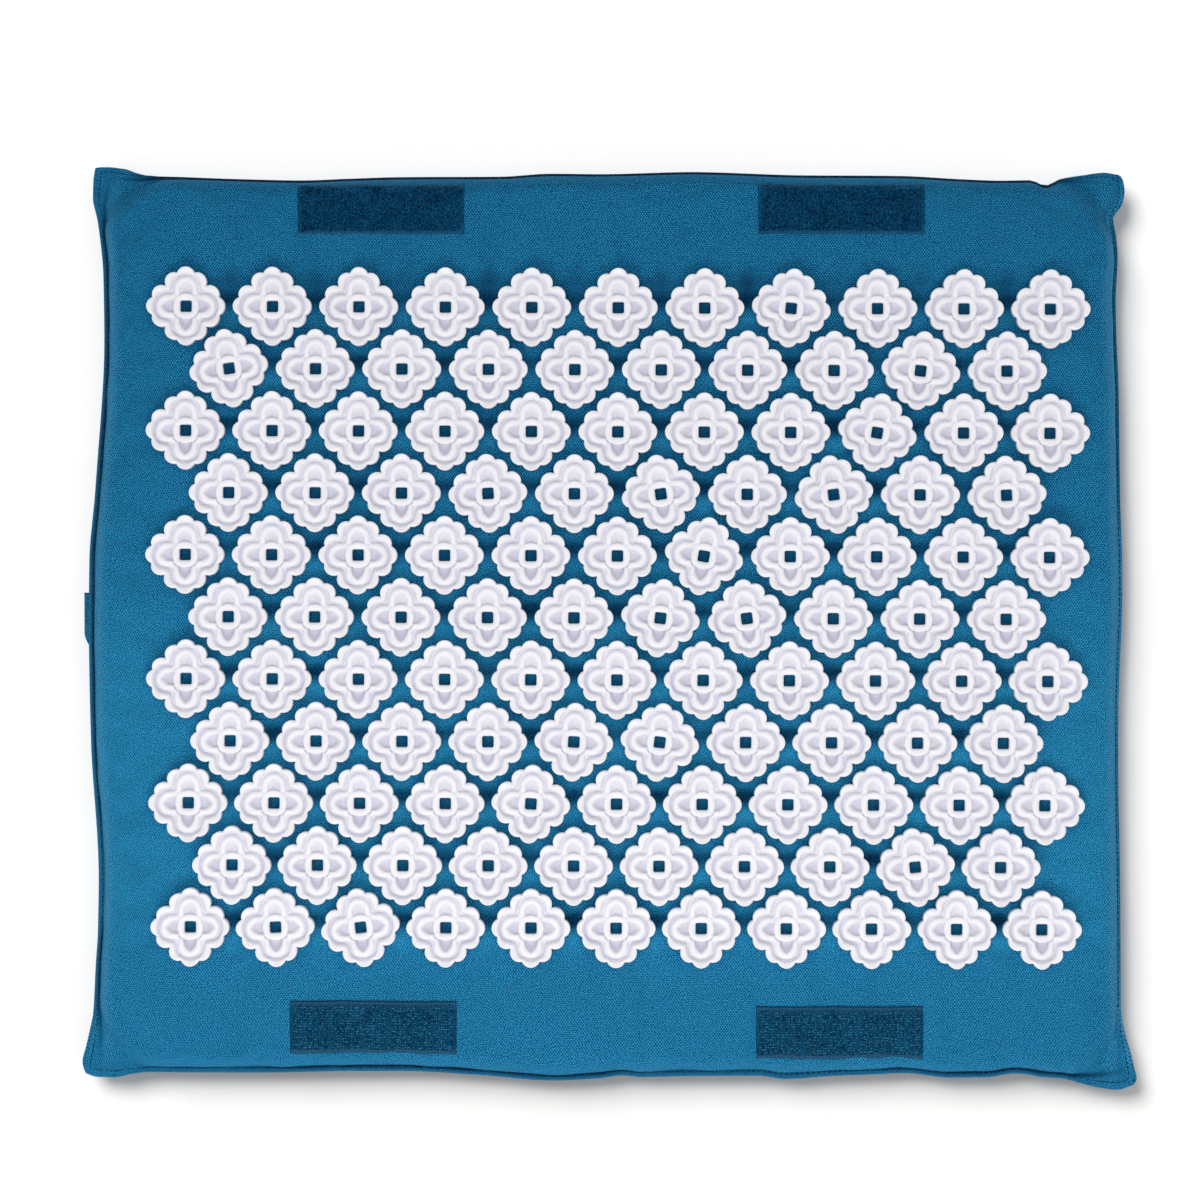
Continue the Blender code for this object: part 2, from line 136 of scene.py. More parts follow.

# Depth of the crevice at the wall's foot, which softens the wall's foot and sets the painted shade
# along it:
# (share of the side, left to right or upwards, depth)
CREVICES = {
    "bottom": (
        (0.0, 0.1), (0.14, 0.15), (0.2, 0.9), (0.5, 1.0), (0.54, 0.35), (0.74, 0.4),
        (0.8, 0.9), (1.0, 0.9),
    ),
    "right": (
        (0.0, 0.9), (0.06, 0.8), (0.08, 0.2), (0.48, 0.2), (0.5, 0.0), (0.57, 0.0),
        (0.6, 0.3), (1.0, 0.4),
    ),
    "top": ((0.0, 0.4), (0.06, 1.0), (0.9, 1.0), (0.94, 0.5), (1.0, 0.3)),
    "left": (
        (0.0, 0.3), (0.07, 0.8), (0.14, 0.95), (0.17, 0.3), (0.23, 0.3), (0.3, 0.8),
        (0.4, 1.0), (0.55, 0.85), (0.7, 1.0), (0.88, 1.0), (0.95, 0.7), (1.0, 0.4),
    ),
}

# Painted fall-off of the light over the canvas, paler in its near half and darker towards its far
# side:
# (share of the mat's width from its near side, change of tone)
PAINTED_FALLOFF = (
    (0.0, 0.0), (0.1, 0.03), (0.16, 0.3), (0.21, 0.42), (0.41, 0.42), (0.48, 0.28),
    (0.54, 0.0), (0.58, -0.13), (0.65, -0.24), (0.85, -0.34), (0.92, -0.42), (1.0, -0.45),
)

# Strip of the flange that shows outside the right wall, darkened with painted shade: (share of the
# side, width in mm)
RIGHT_STRIP = (
    (0.1, 0.0), (0.14, 0.5), (0.38, 0.5), (0.43, 0.0), (0.6, 0.0), (0.66, 1.2),
    (0.94, 1.3), (0.97, 0.0),
)

# Grid lines of a panel: shares of the flange's width, then of the shoulder's
FLANGE_SHARES = (0.0, 0.3, 0.6, 0.85, 1.0)
WALL_SHARES = (0.005, 0.018, 0.04, 0.075, 0.12, 0.18, 0.26, 0.36, 0.5, 0.7, 1.0)

# Spacing of the grid away from the sides, of each panel and of the simulated cloth
TOP_SPACING = 2.3 * MM
BOTTOM_SPACING = 5 * MM
SWELL_SPACING = 4.0 * MM

# The simulated cloth's frames, and the farthest that a point of it may move
SWELL_FRAMES = 20
SWELL_MOST = 1.3 * MM

# Share of the wall's rise that counts in the canvas's flat map: its weave is pulled open there
STRETCHED = 0.4

# How far the wall bulges out over the flange, side by side
BULGES = {"left": 0.5 * MM, "right": 0.45 * MM, "bottom": 0.8 * MM, "top": 0.1 * MM}

# Folds in the ears: (end of the mat, long side, turn of the folds, strength)
EAR_FOLDS = ((-1, 1, 0.4, 1.0), (1, 1, 2.1, 0.7), (1, -1, 1.2, 1.3), (-1, -1, 3.0, 0.9))
EAR_FOLD_HEIGHT = 0.45 * MM
EAR_FOLD_START = 17 * MM

# Rosettes that sit askew: (row, place in it): degrees
ASKEW_DEG = {
    (0, 7): -5.5, (1, 0): 8.5, (1, 8): -6.5, (2, 8): -9, (3, 3): 3, (3, 5): 8.5,
    (3, 7): 8, (3, 9): 3.5, (4, 6): -9.5, (5, 5): -6.5, (5, 6): 7.5, (7, 4): -3,
    (7, 5): -6.5, (8, 4): -3.5, (9, 8): 6.5, (10, 1): 2.5, (10, 2): 7.5,
}

# Patches of tape: their length, and each kind's width, lower edge and thickness
PATCH_LENGTH = 64 * MM
LOOP_WIDTH = 19.2 * MM
HOOK_WIDTH = 20 * MM
LOOP_LOW = HALF_WIDTH - 3.2 * MM - LOOP_WIDTH
HOOK_LOW = -HALF_WIDTH + 9.7 * MM
LOOP_THICKNESS = 0.9 * MM
HOOK_THICKNESS = 0.75 * MM
LOOP_SELVEDGE = 0.8 * MM
HOOK_SELVEDGE = 1.9 * MM

# Loops: (side, middle along the mat, seed of the pile). Hooks: (side, middle, how much lower)
LOOP_PATCHES = (("left", -87.3 * MM, 3), ("right", 89.9 * MM, 8))
HOOK_PATCHES = (("left", -90.2 * MM, 0.0), ("right", 89.2 * MM, 2.0 * MM))

# Least spacing of the loops, loops to a square metre, how far they lean; the hooks' rows
LOOP_SPACING = 0.5 * MM
LOOP_DENSITY = 4.0e6
LOOP_LEAN = 0.75
HOOK_COLUMNS = 62
HOOK_ROWS = 16
HOOK_PITCH = 1.0 * MM

# Stitches: (length, radius, pitch), and the share of the flange's width at which the seam's run
PATCH_STITCH = (2.3 * MM, 0.16 * MM, 2.9 * MM)
SEAM_STITCH = (1.7 * MM, 0.2 * MM, 2.1 * MM)
SEAM_STITCH_SHARE = 0.62

# Darkest and lightest tone of each yarn; the canvas's painted shade and its wear and painted
# highlight;
# the plastic's white and its painted shade
CANVAS_DARK, CANVAS_LIGHT = (0.0003, 0.055, 0.16), (0.031, 0.345, 0.61)
PAINTED_SHADE_BLUE, WEAR_AND_HIGHLIGHT_BLUE = (0.0006, 0.02, 0.055), (0.08, 0.38, 0.64)
THREAD_DARK, THREAD_LIGHT = (0.0015, 0.02, 0.05), (0.02, 0.12, 0.23)
LOOP_DARK, LOOP_LIGHT = (0.0002, 0.01, 0.045), (0.012, 0.18, 0.39)
HOOK_DARK, HOOK_LIGHT = (0.0002, 0.014, 0.052), (0.08, 0.42, 0.66)
HOOK_GROUND_LIGHT = (0.01, 0.16, 0.31)
SELVEDGE_DARK, SELVEDGE_LIGHT = (0.002, 0.035, 0.09), (0.03, 0.13, 0.24)
TAB_DARK, TAB_LIGHT = (0.002, 0.06, 0.15), (0.04, 0.27, 0.48)
SPIKE_WHITE, SPIKE_SHADE = (0.945, 0.94, 0.99), (0.6, 0.59, 0.71)
FOAM_CREAM = (0.78, 0.74, 0.62)

# Yarns of the canvas, from one to the next
WARP_PITCH = 0.516 * MM
WEFT_PITCH = 0.728 * MM
WARP_LEAN = -0.065


# ---------------------------------------------------------------- node trees

class Wire:
    """A socket that takes part in sums: each operator adds the node that works it out."""

    def __init__(self, bench, socket):
        self.bench = bench
        self.socket = socket

    def sum_with(self, operation, first, second):
        return self.bench.node("ShaderNodeMath", {"operation": operation}, {0: first, 1: second})

    def __add__(self, other):
        return self.sum_with("ADD", self, other)

    __radd__ = __add__

    def __sub__(self, other):
        return self.sum_with("SUBTRACT", self, other)

    def __rsub__(self, other):
        return self.sum_with("SUBTRACT", other, self)

    def __mul__(self, other):
        return self.sum_with("MULTIPLY", self, other)

    __rmul__ = __mul__

    def __neg__(self):
        return self.sum_with("MULTIPLY", self, -1.0)


class Bench:
    """One node tree, of a material, the world or a pattern of pieces."""

    def __init__(self, tree):
        self.tree = tree

    def node(self, kind, settings=None, sockets=None, output=0):
        """Adds a node, its settings before its sockets, and gives back one of its outputs."""
        made = self.tree.nodes.new(kind)
        for name, value in (settings or {}).items():
            setattr(made, name, value)
        for key, value in (sockets or {}).items():
            if isinstance(value, Wire):
                self.tree.links.new(value.socket, made.inputs[key])
            else:
                made.inputs[key].default_value = value
        return Wire(self, made.outputs[output]) if made.outputs else made

    def clamp(self, value, low=0.0, high=1.0):
        return self.node("ShaderNodeClamp", {}, {"Value": value, "Min": low, "Max": high})

    def sine(self, value):
        return self.node("ShaderNodeMath", {"operation": "SINE"}, {0: value})

    def ribs(self, value):
        """Half waves from 0 to 1, one to each step of pi."""
        return self.node("ShaderNodeMath", {"operation": "ABSOLUTE"}, {0: self.sine(value)})

    def split(self, vector):
        x = self.node("ShaderNodeSeparateXYZ", {}, {0: vector})
        return [Wire(self, output) for output in x.socket.node.outputs]

    def joined(self, x, y, z):
        return self.node("ShaderNodeCombineXYZ", {}, {0: x, 1: y, 2: z})

    def grain(self, vector, scale, detail=2.0):
        """Smooth noise from 0 to 1 about 0.5."""
        sockets = {"Vector": vector, "Scale": scale, "Detail": detail}
        return self.node("ShaderNodeTexNoise", {}, sockets)

    def blend(self, factor, first, second):
        first, second = [c if isinstance(c, Wire) else (*c, 1.0) for c in (first, second)]
        sockets = {0: factor, 6: first, 7: second}
        return self.node("ShaderNodeMix", {"data_type": "RGBA"}, sockets, 2)

    def relief(self, height, distance, strength):
        sockets = {"Strength": strength, "Distance": distance, "Height": height}
        return self.node("ShaderNodeBump", {}, sockets)

    def attribute(self, name):
        return self.node("ShaderNodeAttribute", {"attribute_name": name}, {}, 2)

    def object_place(self):
        return self.node("ShaderNodeTexCoord", {}, {}, 3)


def new_material(name):
    material = bpy.data.materials.new(name)
    material.use_nodes = True
    material.node_tree.nodes.clear()
    return material, Bench(material.node_tree)


def finish_with(bench, sockets):
    """Closes a material's tree with its one shader."""
    shader = bench.node("ShaderNodeBsdfPrincipled", {}, sockets)
    bench.node("ShaderNodeOutputMaterial", {}, {"Surface": shader})


def darker(color, share):
    return tuple(c * share for c in color)


# ---------------------------------------------------------------- finishes

def canvas_finish():
    """A plain weave: yarns that dive under each other in turn, uneven and flecked."""
    material, bench = new_material("canvas")
    cloth = bench.node("ShaderNodeUVMap", {"uv_map": "cloth"})
    along, across, _ = bench.split(cloth)
    warp_drift = (bench.grain(cloth, 140.0, 1.0) - 0.5) * (0.35 * MM)
    weft_drift = (bench.grain(bench.joined(across, along, 1.0), 120.0, 1.0) - 0.5) * (0.4 * MM)
    warp_turn = (along + across * WARP_LEAN + warp_drift) * (math.pi / WARP_PITCH)
    weft_turn = (across + weft_drift) * (math.pi / WEFT_PITCH)

    # Where a yarn floats on top, the ribs of the weft, thick places in the yarns, clouds, flecks
    floats = bench.clamp(bench.sine(warp_turn) * bench.sine(weft_turn) * 1.8, -1.0, 1.0)
    ribs = bench.ribs(weft_turn)
    weft_slubs = bench.grain(bench.joined(along * 300.0, across * 1250.0, 0.3), 1.0, 1.0)
    warp_slubs = bench.grain(bench.joined(along * 1700.0, across * 300.0, 4.1), 1.0, 1.0)
    clouds = bench.grain(cloth, 38.0, 3.0)
    flecks = bench.grain(cloth, 2300.0, 0.0)
    # Painted light: the canvas's fall-off of light across the mat, and the light south of the
    # rosettes' gaps
    lit = bench.attribute("lit")
    tone = (
        0.4 + lit * 0.36 + floats * 0.46 + (ribs - 0.64) * 0.45 + (weft_slubs - 0.5) * 0.3
        + (warp_slubs - 0.5) * 0.3 + (clouds - 0.5) * 0.16 + (flecks - 0.5) * 2.9
    )
    color = bench.blend(bench.clamp(tone), CANVAS_DARK, CANVAS_LIGHT)
    # Painted shade along the seam's foot, over the top flange, in the rosettes' holes and beside
    # the gaps, broken up by the weave
    uneven = 1.0 + (flecks - 0.5) * 3.4 + (clouds - 0.5) * 0.8 - floats * 0.15
    sunk = bench.attribute("sunk") * uneven
    color = bench.blend(bench.clamp(sunk), color, PAINTED_SHADE_BLUE)
    # Paler edges: wear at the flange's rim, and painted highlight on the shoulders and along the
    # right side's scalloped line
    wear_and_highlight = bench.attribute("wear_and_highlight") * (0.6 + (flecks - 0.5) * 2.0 + floats * 0.3)
    color = bench.blend(bench.clamp(wear_and_highlight), color, WEAR_AND_HIGHLIGHT_BLUE)
    height = floats * 0.35 + ribs * 0.3 + weft_slubs * 0.3
    normal = bench.relief(height, 0.22 * MM, 0.7)
    finish_with(bench, {
        "Base Color": color, "Roughness": 0.84 + (flecks - 0.5) * 0.2, "Normal": normal,
        "Sheen Weight": 0.04, "Sheen Roughness": 0.5, "Sheen Tint": (0.25, 0.7, 1.0, 1.0),
        "Specular IOR Level": 0.05,
    })
    return material


def spike_finish():
    material, bench = new_material("spike_plastic")
    place = bench.object_place()
    hollow = bench.attribute("hollow")
    cast = bench.grain(place, 900.0, 2.0)
    flow = bench.grain(place, 110.0, 2.0)
    # Painted shade in the grooves and hollows, from the rings' tones, with the plastic's own
    # mottling
    shade = bench.clamp(hollow * 0.9 + (flow - 0.5) * 0.45 + (cast - 0.5) * 0.5)
    color = bench.blend(shade, SPIKE_WHITE, SPIKE_SHADE)
    roughness = 0.42 + (flow - 0.5) * 0.14 + hollow * 0.08
    normal = bench.relief(cast * 0.6 + flow * 0.4, 0.1 * MM, 0.4)
    finish_with(bench, {
        "Base Color": color, "Roughness": roughness, "Normal": normal, "IOR": 1.49,
        "Specular IOR Level": 0.25, "Subsurface Weight": 0.1, "Subsurface Scale": 1.0 * MM,
        "Subsurface Radius": (1.0, 0.95, 1.0),
    })
    return material


def tape_finish(name, dark, light, rib_pitch, slant=0.0):
    """Ground of a tape: fine ribs across its run, its selvedges paler and woven closer."""
    material, bench = new_material(name)
    cloth = bench.node("ShaderNodeUVMap", {"uv_map": "cloth"})
    along, across, _ = bench.split(cloth)
    ribs = bench.ribs((along + across * slant) * (math.pi / rib_pitch))
    cross = bench.ribs(across * (math.pi / (rib_pitch * 0.8)))
    flecks = bench.grain(cloth, 1150.0, 2.0)
    clouds = bench.grain(cloth, 90.0, 2.0)
    tone = 0.1 + ribs * 0.3 + cross * 0.12 + (flecks - 0.5) * 1.6 + (clouds - 0.5) * 0.5
    shade = bench.blend(bench.clamp(tone), dark, light)
    edge_tone = 0.25 + ribs * 0.55 + (flecks - 0.5) * 1.2
    edge_shade = bench.blend(bench.clamp(edge_tone), SELVEDGE_DARK, SELVEDGE_LIGHT)
    shade = bench.blend(bench.attribute("selvedge"), shade, edge_shade)
    # Painted shadow along a wide selvedge's far edge, from the 'turned' attribute
    shade = bench.blend(bench.attribute("turned"), shade, darker(dark, 0.6))
    normal = bench.relief(ribs * 0.6 + cross * 0.2 + flecks * 0.3, 0.25 * MM, 0.9)
    finish_with(bench, {
        "Base Color": shade, "Roughness": 0.8 + (flecks - 0.5) * 0.2, "Normal": normal,
        "Specular IOR Level": 0.04,
    })
    return material


def yarn_finish(name, dark, light, lightness, twist, contrast=5.5):
    """Thread, pile and hooks: each strand a little lighter or darker than the next."""
    material, bench = new_material(name)
    place = bench.object_place()
    strands = bench.grain(place, 1400.0, 1.0)
    clouds = bench.grain(place, 160.0, 2.0)
    x, y, z = bench.split(place)
    plies = bench.ribs((x + y + z) * (math.pi / (0.45 * MM)))
    tone = lightness + (strands - 0.5) * contrast + (clouds - 0.5) * 0.8 + (plies - 0.6) * twist
    shade = bench.blend(bench.clamp(tone), dark, light)
    normal = bench.relief(strands * 0.6 + plies * twist, 0.12 * MM, 0.6)
    finish_with(bench, {
        "Base Color": shade, "Roughness": 0.6 + (strands - 0.5) * 0.25, "Normal": normal,
        "Specular IOR Level": 0.04,
    })
    return material


def foam_finish():
    material, bench = new_material("foam")
    place = bench.object_place()
    cells = bench.node("ShaderNodeTexVoronoi", {}, {"Vector": place, "Scale": 900.0})
    clouds = bench.grain(place, 60.0, 2.0)
    tone = bench.clamp(cells * 0.9 + (clouds - 0.5) * 0.4)
    color = bench.blend(tone, FOAM_CREAM, darker(FOAM_CREAM, 0.72))
    normal = bench.relief(cells, 0.5 * MM, 0.8)
    finish_with(bench, {"Base Color": color, "Roughness": 0.9 - cells * 0.1, "Normal": normal})
    return material


def floor_finish():
    material, bench = new_material("studio_floor")
    place = bench.object_place()
    drift = bench.grain(place, 2.0, 1.0)
    color = bench.blend(drift, (0.99, 0.975, 0.955), (1.0, 0.985, 0.965))
    finish_with(bench, {"Base Color": color, "Roughness": 1.0, "Specular IOR Level": 0.0})
    return material


# ---------------------------------------------------------------- pieces

def new_object(name, data):
    made = bpy.data.objects.new(name, data)
    bpy.context.scene.collection.objects.link(made)
    return made


def drop(helper):
    bpy.data.objects.remove(helper, do_unlink=True)


def add_piece(name, mesh, replaces=()):
    piece = new_object(name, mesh)
    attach(piece, "root")
    if replaces:
        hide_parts(*replaces)
    return piece


def new_mesh(name, points, faces, material=None, smooth=True):
    mesh = bpy.data.meshes.new(name)
    mesh.from_pydata([tuple(point) for point in points], [], faces)
    mesh.polygons.foreach_set("use_smooth", [smooth] * len(mesh.polygons))
    if material:
        mesh.materials.append(material)
    mesh.update()
    return mesh


def add_values(mesh, name, values):
    layer = mesh.attributes.new(name, "FLOAT", "POINT")
    layer.data.foreach_set("value", np.asarray(values, dtype=np.float32).ravel())


def add_cloth_map(mesh, places):
    """The cloth's own flat places, in metres, as a UV map."""
    layer = mesh.uv_layers.new(name="cloth")
    corners = np.empty(len(mesh.loops), dtype=np.int32)
    mesh.loops.foreach_get("vertex_index", corners)
    layer.data.foreach_set("uv", np.asarray(places, dtype=np.float32)[corners].ravel())


def with_modifiers(mesh, name, add):
    """The mesh as the modifiers that add() puts on it leave it, as a plain mesh."""
    helper = new_object(name, mesh)
    add(helper)
    depsgraph = bpy.context.evaluated_depsgraph_get()
    result = bpy.data.meshes.new_from_object(helper.evaluated_get(depsgraph))
    result.name = name
    drop(helper)
    return result


def thickened(mesh, name, thickness, offset=-1.0):
    """The cloth given its thickness, inwards of its face unless the offset says otherwise."""
    def add(helper):
        solidify = helper.modifiers.new("cloth_thickness", "SOLIDIFY")
        solidify.thickness = thickness
        solidify.offset = offset
        solidify.use_even_offset = False
    return with_modifiers(mesh, name, add)


# ---------------------------------------------------------------- plan of the cover

def smooth_through(knots, values, places):
    """A curve through the knots that turns only at them."""
    steps = np.diff(knots)
    slopes = np.diff(values) / steps
    tangents = np.zeros_like(values)
    same = slopes[1:] * slopes[:-1] > 0
    weight = steps[1:] + steps[:-1]
    safe = np.where(same, slopes[1:] * slopes[:-1], 1.0)
    middle = np.where(same, 2 * safe * weight / (weight * (slopes[1:] + slopes[:-1]) + 1e-30), 0.0)
    tangents[1:-1] = middle
    tangents[0], tangents[-1] = slopes[0], slopes[-1]
    i = np.clip(np.searchsorted(knots, places) - 1, 0, len(steps) - 1)
    t = np.clip((places - knots[i]) / steps[i], 0, 1)
    h = steps[i]
    return (
        values[i] * (1 + 2 * t) * (1 - t) ** 2 + h * tangents[i] * t * (1 - t) ** 2
        + values[i + 1] * t * t * (3 - 2 * t) + h * tangents[i + 1] * t * t * (t - 1)
    )


def side_line(shares, length):
    places = np.array(shares)
    return places[:, 0] * length, places[:, 1] * EDGE_WAVE


def edge_curves():
    """The four sides as curves between the ears' outer corners."""
    along, out = side_line(BOTTOM_EDGE, MAT_LENGTH)
    bottom = np.column_stack((-HALF_LENGTH + along, -HALF_WIDTH - out))
    along, out = side_line(RIGHT_EDGE, MAT_WIDTH)
    right = np.column_stack((HALF_LENGTH + out, -HALF_WIDTH + along))
    along, out = side_line(TOP_EDGE, MAT_LENGTH)
    top = np.column_stack((HALF_LENGTH - along, HALF_WIDTH + out))
    along, out = side_line(LEFT_EDGE, MAT_WIDTH)
    left = np.column_stack((-HALF_LENGTH - out, HALF_WIDTH - along))
    low_left = (bottom[0] + left[-1]) / 2
    low_right = (bottom[-1] + right[0]) / 2
    up_right = (right[-1] + top[0]) / 2
    up_left = (top[-1] + left[0]) / 2
    return {
        "bottom": np.vstack((low_left, bottom, low_right)),
        "right": np.vstack((low_right, right, up_right)),
        "top": np.vstack((up_left, top[::-1], up_right)),
        "left": np.vstack((low_left, left[::-1], up_left)),
        "corners": (low_left, low_right, up_right, up_left),
    }


EDGES = edge_curves()


def edge_fade(distance):
    t = np.clip(distance / FADE_IN, 0, 1)
    return 1 - t * t * (3 - 2 * t)


def side_shift(side, x, y):
    """How far the side's real edge lies from its straight line, at each place."""
    curve = EDGES[side]
    level = side in ("bottom", "top")
    run, out = (0, 1) if level else (1, 0)
    half_run = HALF_LENGTH if level else HALF_WIDTH
    place = x if level else y
    start, end = curve[0, run], curve[-1, run]
    target = start + (place + half_run) / (2 * half_run) * (end - start)
    edge = smooth_through(curve[:, run], curve[:, out], target)
    half_out = HALF_WIDTH if level else HALF_LENGTH
    straight = -half_out if side in ("bottom", "left") else half_out
    along_shift, out_shift = target - place, edge - straight
    return (along_shift, out_shift) if level else (out_shift, along_shift)


def plan_shift(x, y):
    """From a place on the straight-sided mat to the same place on the real one."""
    fades = {
        "bottom": edge_fade(y + HALF_WIDTH), "top": edge_fade(HALF_WIDTH - y),
        "left": edge_fade(x + HALF_LENGTH), "right": edge_fade(HALF_LENGTH - x),
    }
    shift_x, shift_y = np.zeros_like(x), np.zeros_like(y)
    for side, fade in fades.items():
        side_x, side_y = side_shift(side, x, y)
        shift_x = shift_x + fade * side_x
        shift_y = shift_y + fade * side_y
    corner_sides = (("left", "bottom"), ("right", "bottom"), ("right", "top"), ("left", "top"))
    signs = ((-1, -1), (1, -1), (1, 1), (-1, 1))
    for corner, sides, sign in zip(EDGES["corners"], corner_sides, signs):
        both = fades[sides[0]] * fades[sides[1]]
        shift_x = shift_x - both * (corner[0] - sign[0] * HALF_LENGTH)
        shift_y = shift_y - both * (corner[1] - sign[1] * HALF_WIDTH)
    return shift_x, shift_y


def straight_place(x, y):
    """The place on the straight-sided mat whose real place is x, y."""
    place_x, place_y = x.copy(), y.copy()
    for _ in range(6):
        shift_x, shift_y = plan_shift(place_x, place_y)
        place_x, place_y = x - shift_x, y - shift_y
    return place_x, place_y


def wander(x, y, scale, seed):
    """Smooth unevenness from -1 to 1, for an array of places."""
    flat = [noise.noise((a * scale, b * scale, seed)) for a, b in zip(x.ravel(), y.ravel())]
    return np.array(flat).reshape(x.shape)


def sides_of(x, y):
    """For each side: its name, distance in from it, flange, share of an ear, the way out."""
    ear_y = np.clip(1 - (HALF_WIDTH - np.abs(y)) / EAR_LENGTH, 0, 1)
    ear_x = np.clip(1 - (HALF_LENGTH - np.abs(x)) / EAR_LENGTH, 0, 1)
    return (
        ("left", x + HALF_LENGTH, FLANGE_LEFT, ear_y, (-1, 0)),
        ("right", HALF_LENGTH - x, FLANGE_RIGHT, ear_y, (1, 0)),
        ("bottom", y + HALF_WIDTH, FLANGE_BOTTOM, ear_x, (0, -1)),
        ("top", HALF_WIDTH - y, FLANGE_TOP, ear_x, (0, 1)),
    )


def crevice_depth(side, x, y):
    """How deep the crevice is at each place along a side, and how dark its painted shade."""
    share = (x / MAT_LENGTH if side in ("bottom", "top") else y / MAT_WIDTH) + 0.5
    return np.interp(share, *zip(*CREVICES[side]))


def cover_shape(x, y):
    """(share of the rise, the wall's bulge along x and y, share of flange) at each place."""
    bulge_x, bulge_y = np.zeros_like(x), np.zeros_like(x)
    from_end, from_edge = np.full_like(x, CORNER_TURN), np.full_like(x, CORNER_TURN)
    softness, least_ear = np.zeros_like(x), np.ones_like(x)
    puckers = 1 + 0.9 * wander(x, y, 95.0, 11.5)
    for side, distance, flange, ear, outward in sides_of(x, y):
        inside = (distance - flange - EAR_FLAT * ear) / (SHOULDER * (1 + 1.7 * ear))
        nearest = np.minimum(from_end, from_edge)
        softness = np.where(inside < nearest, 1 - crevice_depth(side, x, y), softness)
        if outward[1] == 0:
            from_end = np.minimum(from_end, inside)
        else:
            from_edge = np.minimum(from_edge, inside)
        least_ear = np.minimum(least_ear, ear)
        a = np.clip(inside, 0, 1)
        swell = BULGES[side] * puckers * (1 - ear) * 3.4 * np.sqrt(a) * (1 - a) ** 2
        bulge_x = bulge_x + outward[0] * swell
        bulge_y = bulge_y + outward[1] * swell
    a = np.clip(CORNER_TURN - np.hypot(CORNER_TURN - from_end, CORNER_TURN - from_edge), 0, 1)
    slope = 0.6 + 0.5 * least_ear + 0.25 * softness * (1 - least_ear)
    return np.sin(math.pi / 2 * a ** slope), bulge_x, bulge_y, 1 - a


def seam_lift(x, y, seam):
    """The seam isn't level: it waves, and the ears curl."""
    wave = wander(x, y, 22.0, 3.0) * 0.9 * MM + wander(x, y, 60.0, 7.5) * 0.35 * MM
    return wave * seam ** 2


def side_distances(flange, spacing):
    """Grid lines in from one side: over the flange, close together up the wall, then wider."""
    lines = [flange * share for share in FLANGE_SHARES]
    lines += [flange + SHOULDER * share for share in WALL_SHARES]
    step = 1.3 * MM
    while step < spacing:
        lines.append(lines[-1] + step)
        step *= 1.12
    return lines


def grid_lines(half, low_flange, high_flange, spacing):
    low = [-half + d for d in side_distances(low_flange, spacing)]
    high = [half - d for d in side_distances(high_flange, spacing)]
    count = max(1, round((high[-1] - low[-1]) / spacing))
    middle = list(np.linspace(low[-1], high[-1], count + 1))[1:-1]
    return np.array(low + middle + high[::-1])


def cover_lines(spacing):
    """Grid lines of a panel of the cover, along the mat and across it."""
    return (
        grid_lines(HALF_LENGTH, FLANGE_LEFT, FLANGE_RIGHT, spacing),
        grid_lines(HALF_WIDTH, FLANGE_BOTTOM, FLANGE_TOP, spacing),
    )


def rosette_places():
    """(row, place in it, middle, turn) of every rosette, on the straight-sided mat."""
    places = []
    turn = math.radians(FIELD_TURN_DEG)
    for row in range(ROWS):
        columns = COLUMNS - row % 2
        down = max(0.0, 2 * row / (ROWS - 1) - 1)
        pitch = COLUMN_PITCH * (1 - LAST_ROW_DRAW * down)
        y = ((ROWS - 1) / 2 - row) * ROW_PITCH
        for column in range(columns):
            x = (column - (columns - 1) / 2) * pitch
            middle = (
                FIELD_OFFSET[0] + x * math.cos(turn) - y * math.sin(turn),
                FIELD_OFFSET[1] + x * math.sin(turn) + y * math.cos(turn),
            )
            askew = math.radians(ASKEW_DEG.get((row, column), 0.0))
            places.append((row, column, middle, turn + askew))
    return places


PLACES = rosette_places()


def near_rosette(x, y):
    """Distance to the nearest rosette's middle."""
    middles = np.array([middle for _, _, middle, _ in PLACES])
    nearest = np.full(x.shape, 1.0)
    for middle_x, middle_y in middles:
        nearest = np.minimum(nearest, np.hypot(x - middle_x, y - middle_y))
    return nearest


# Where the straight-sided mat's middle lies in the frame
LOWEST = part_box("top_panel")[0]
EDGE_POINTS = np.vstack([EDGES[side][1:-1] for side in ("bottom", "right", "top", "left")])
SHIFT_X = LOWEST[0] - EDGE_POINTS[:, 0].min()
SHIFT_Y = LOWEST[1] - EDGE_POINTS[:, 1].min()


# ---------------------------------------------------------------- how the cloth lies

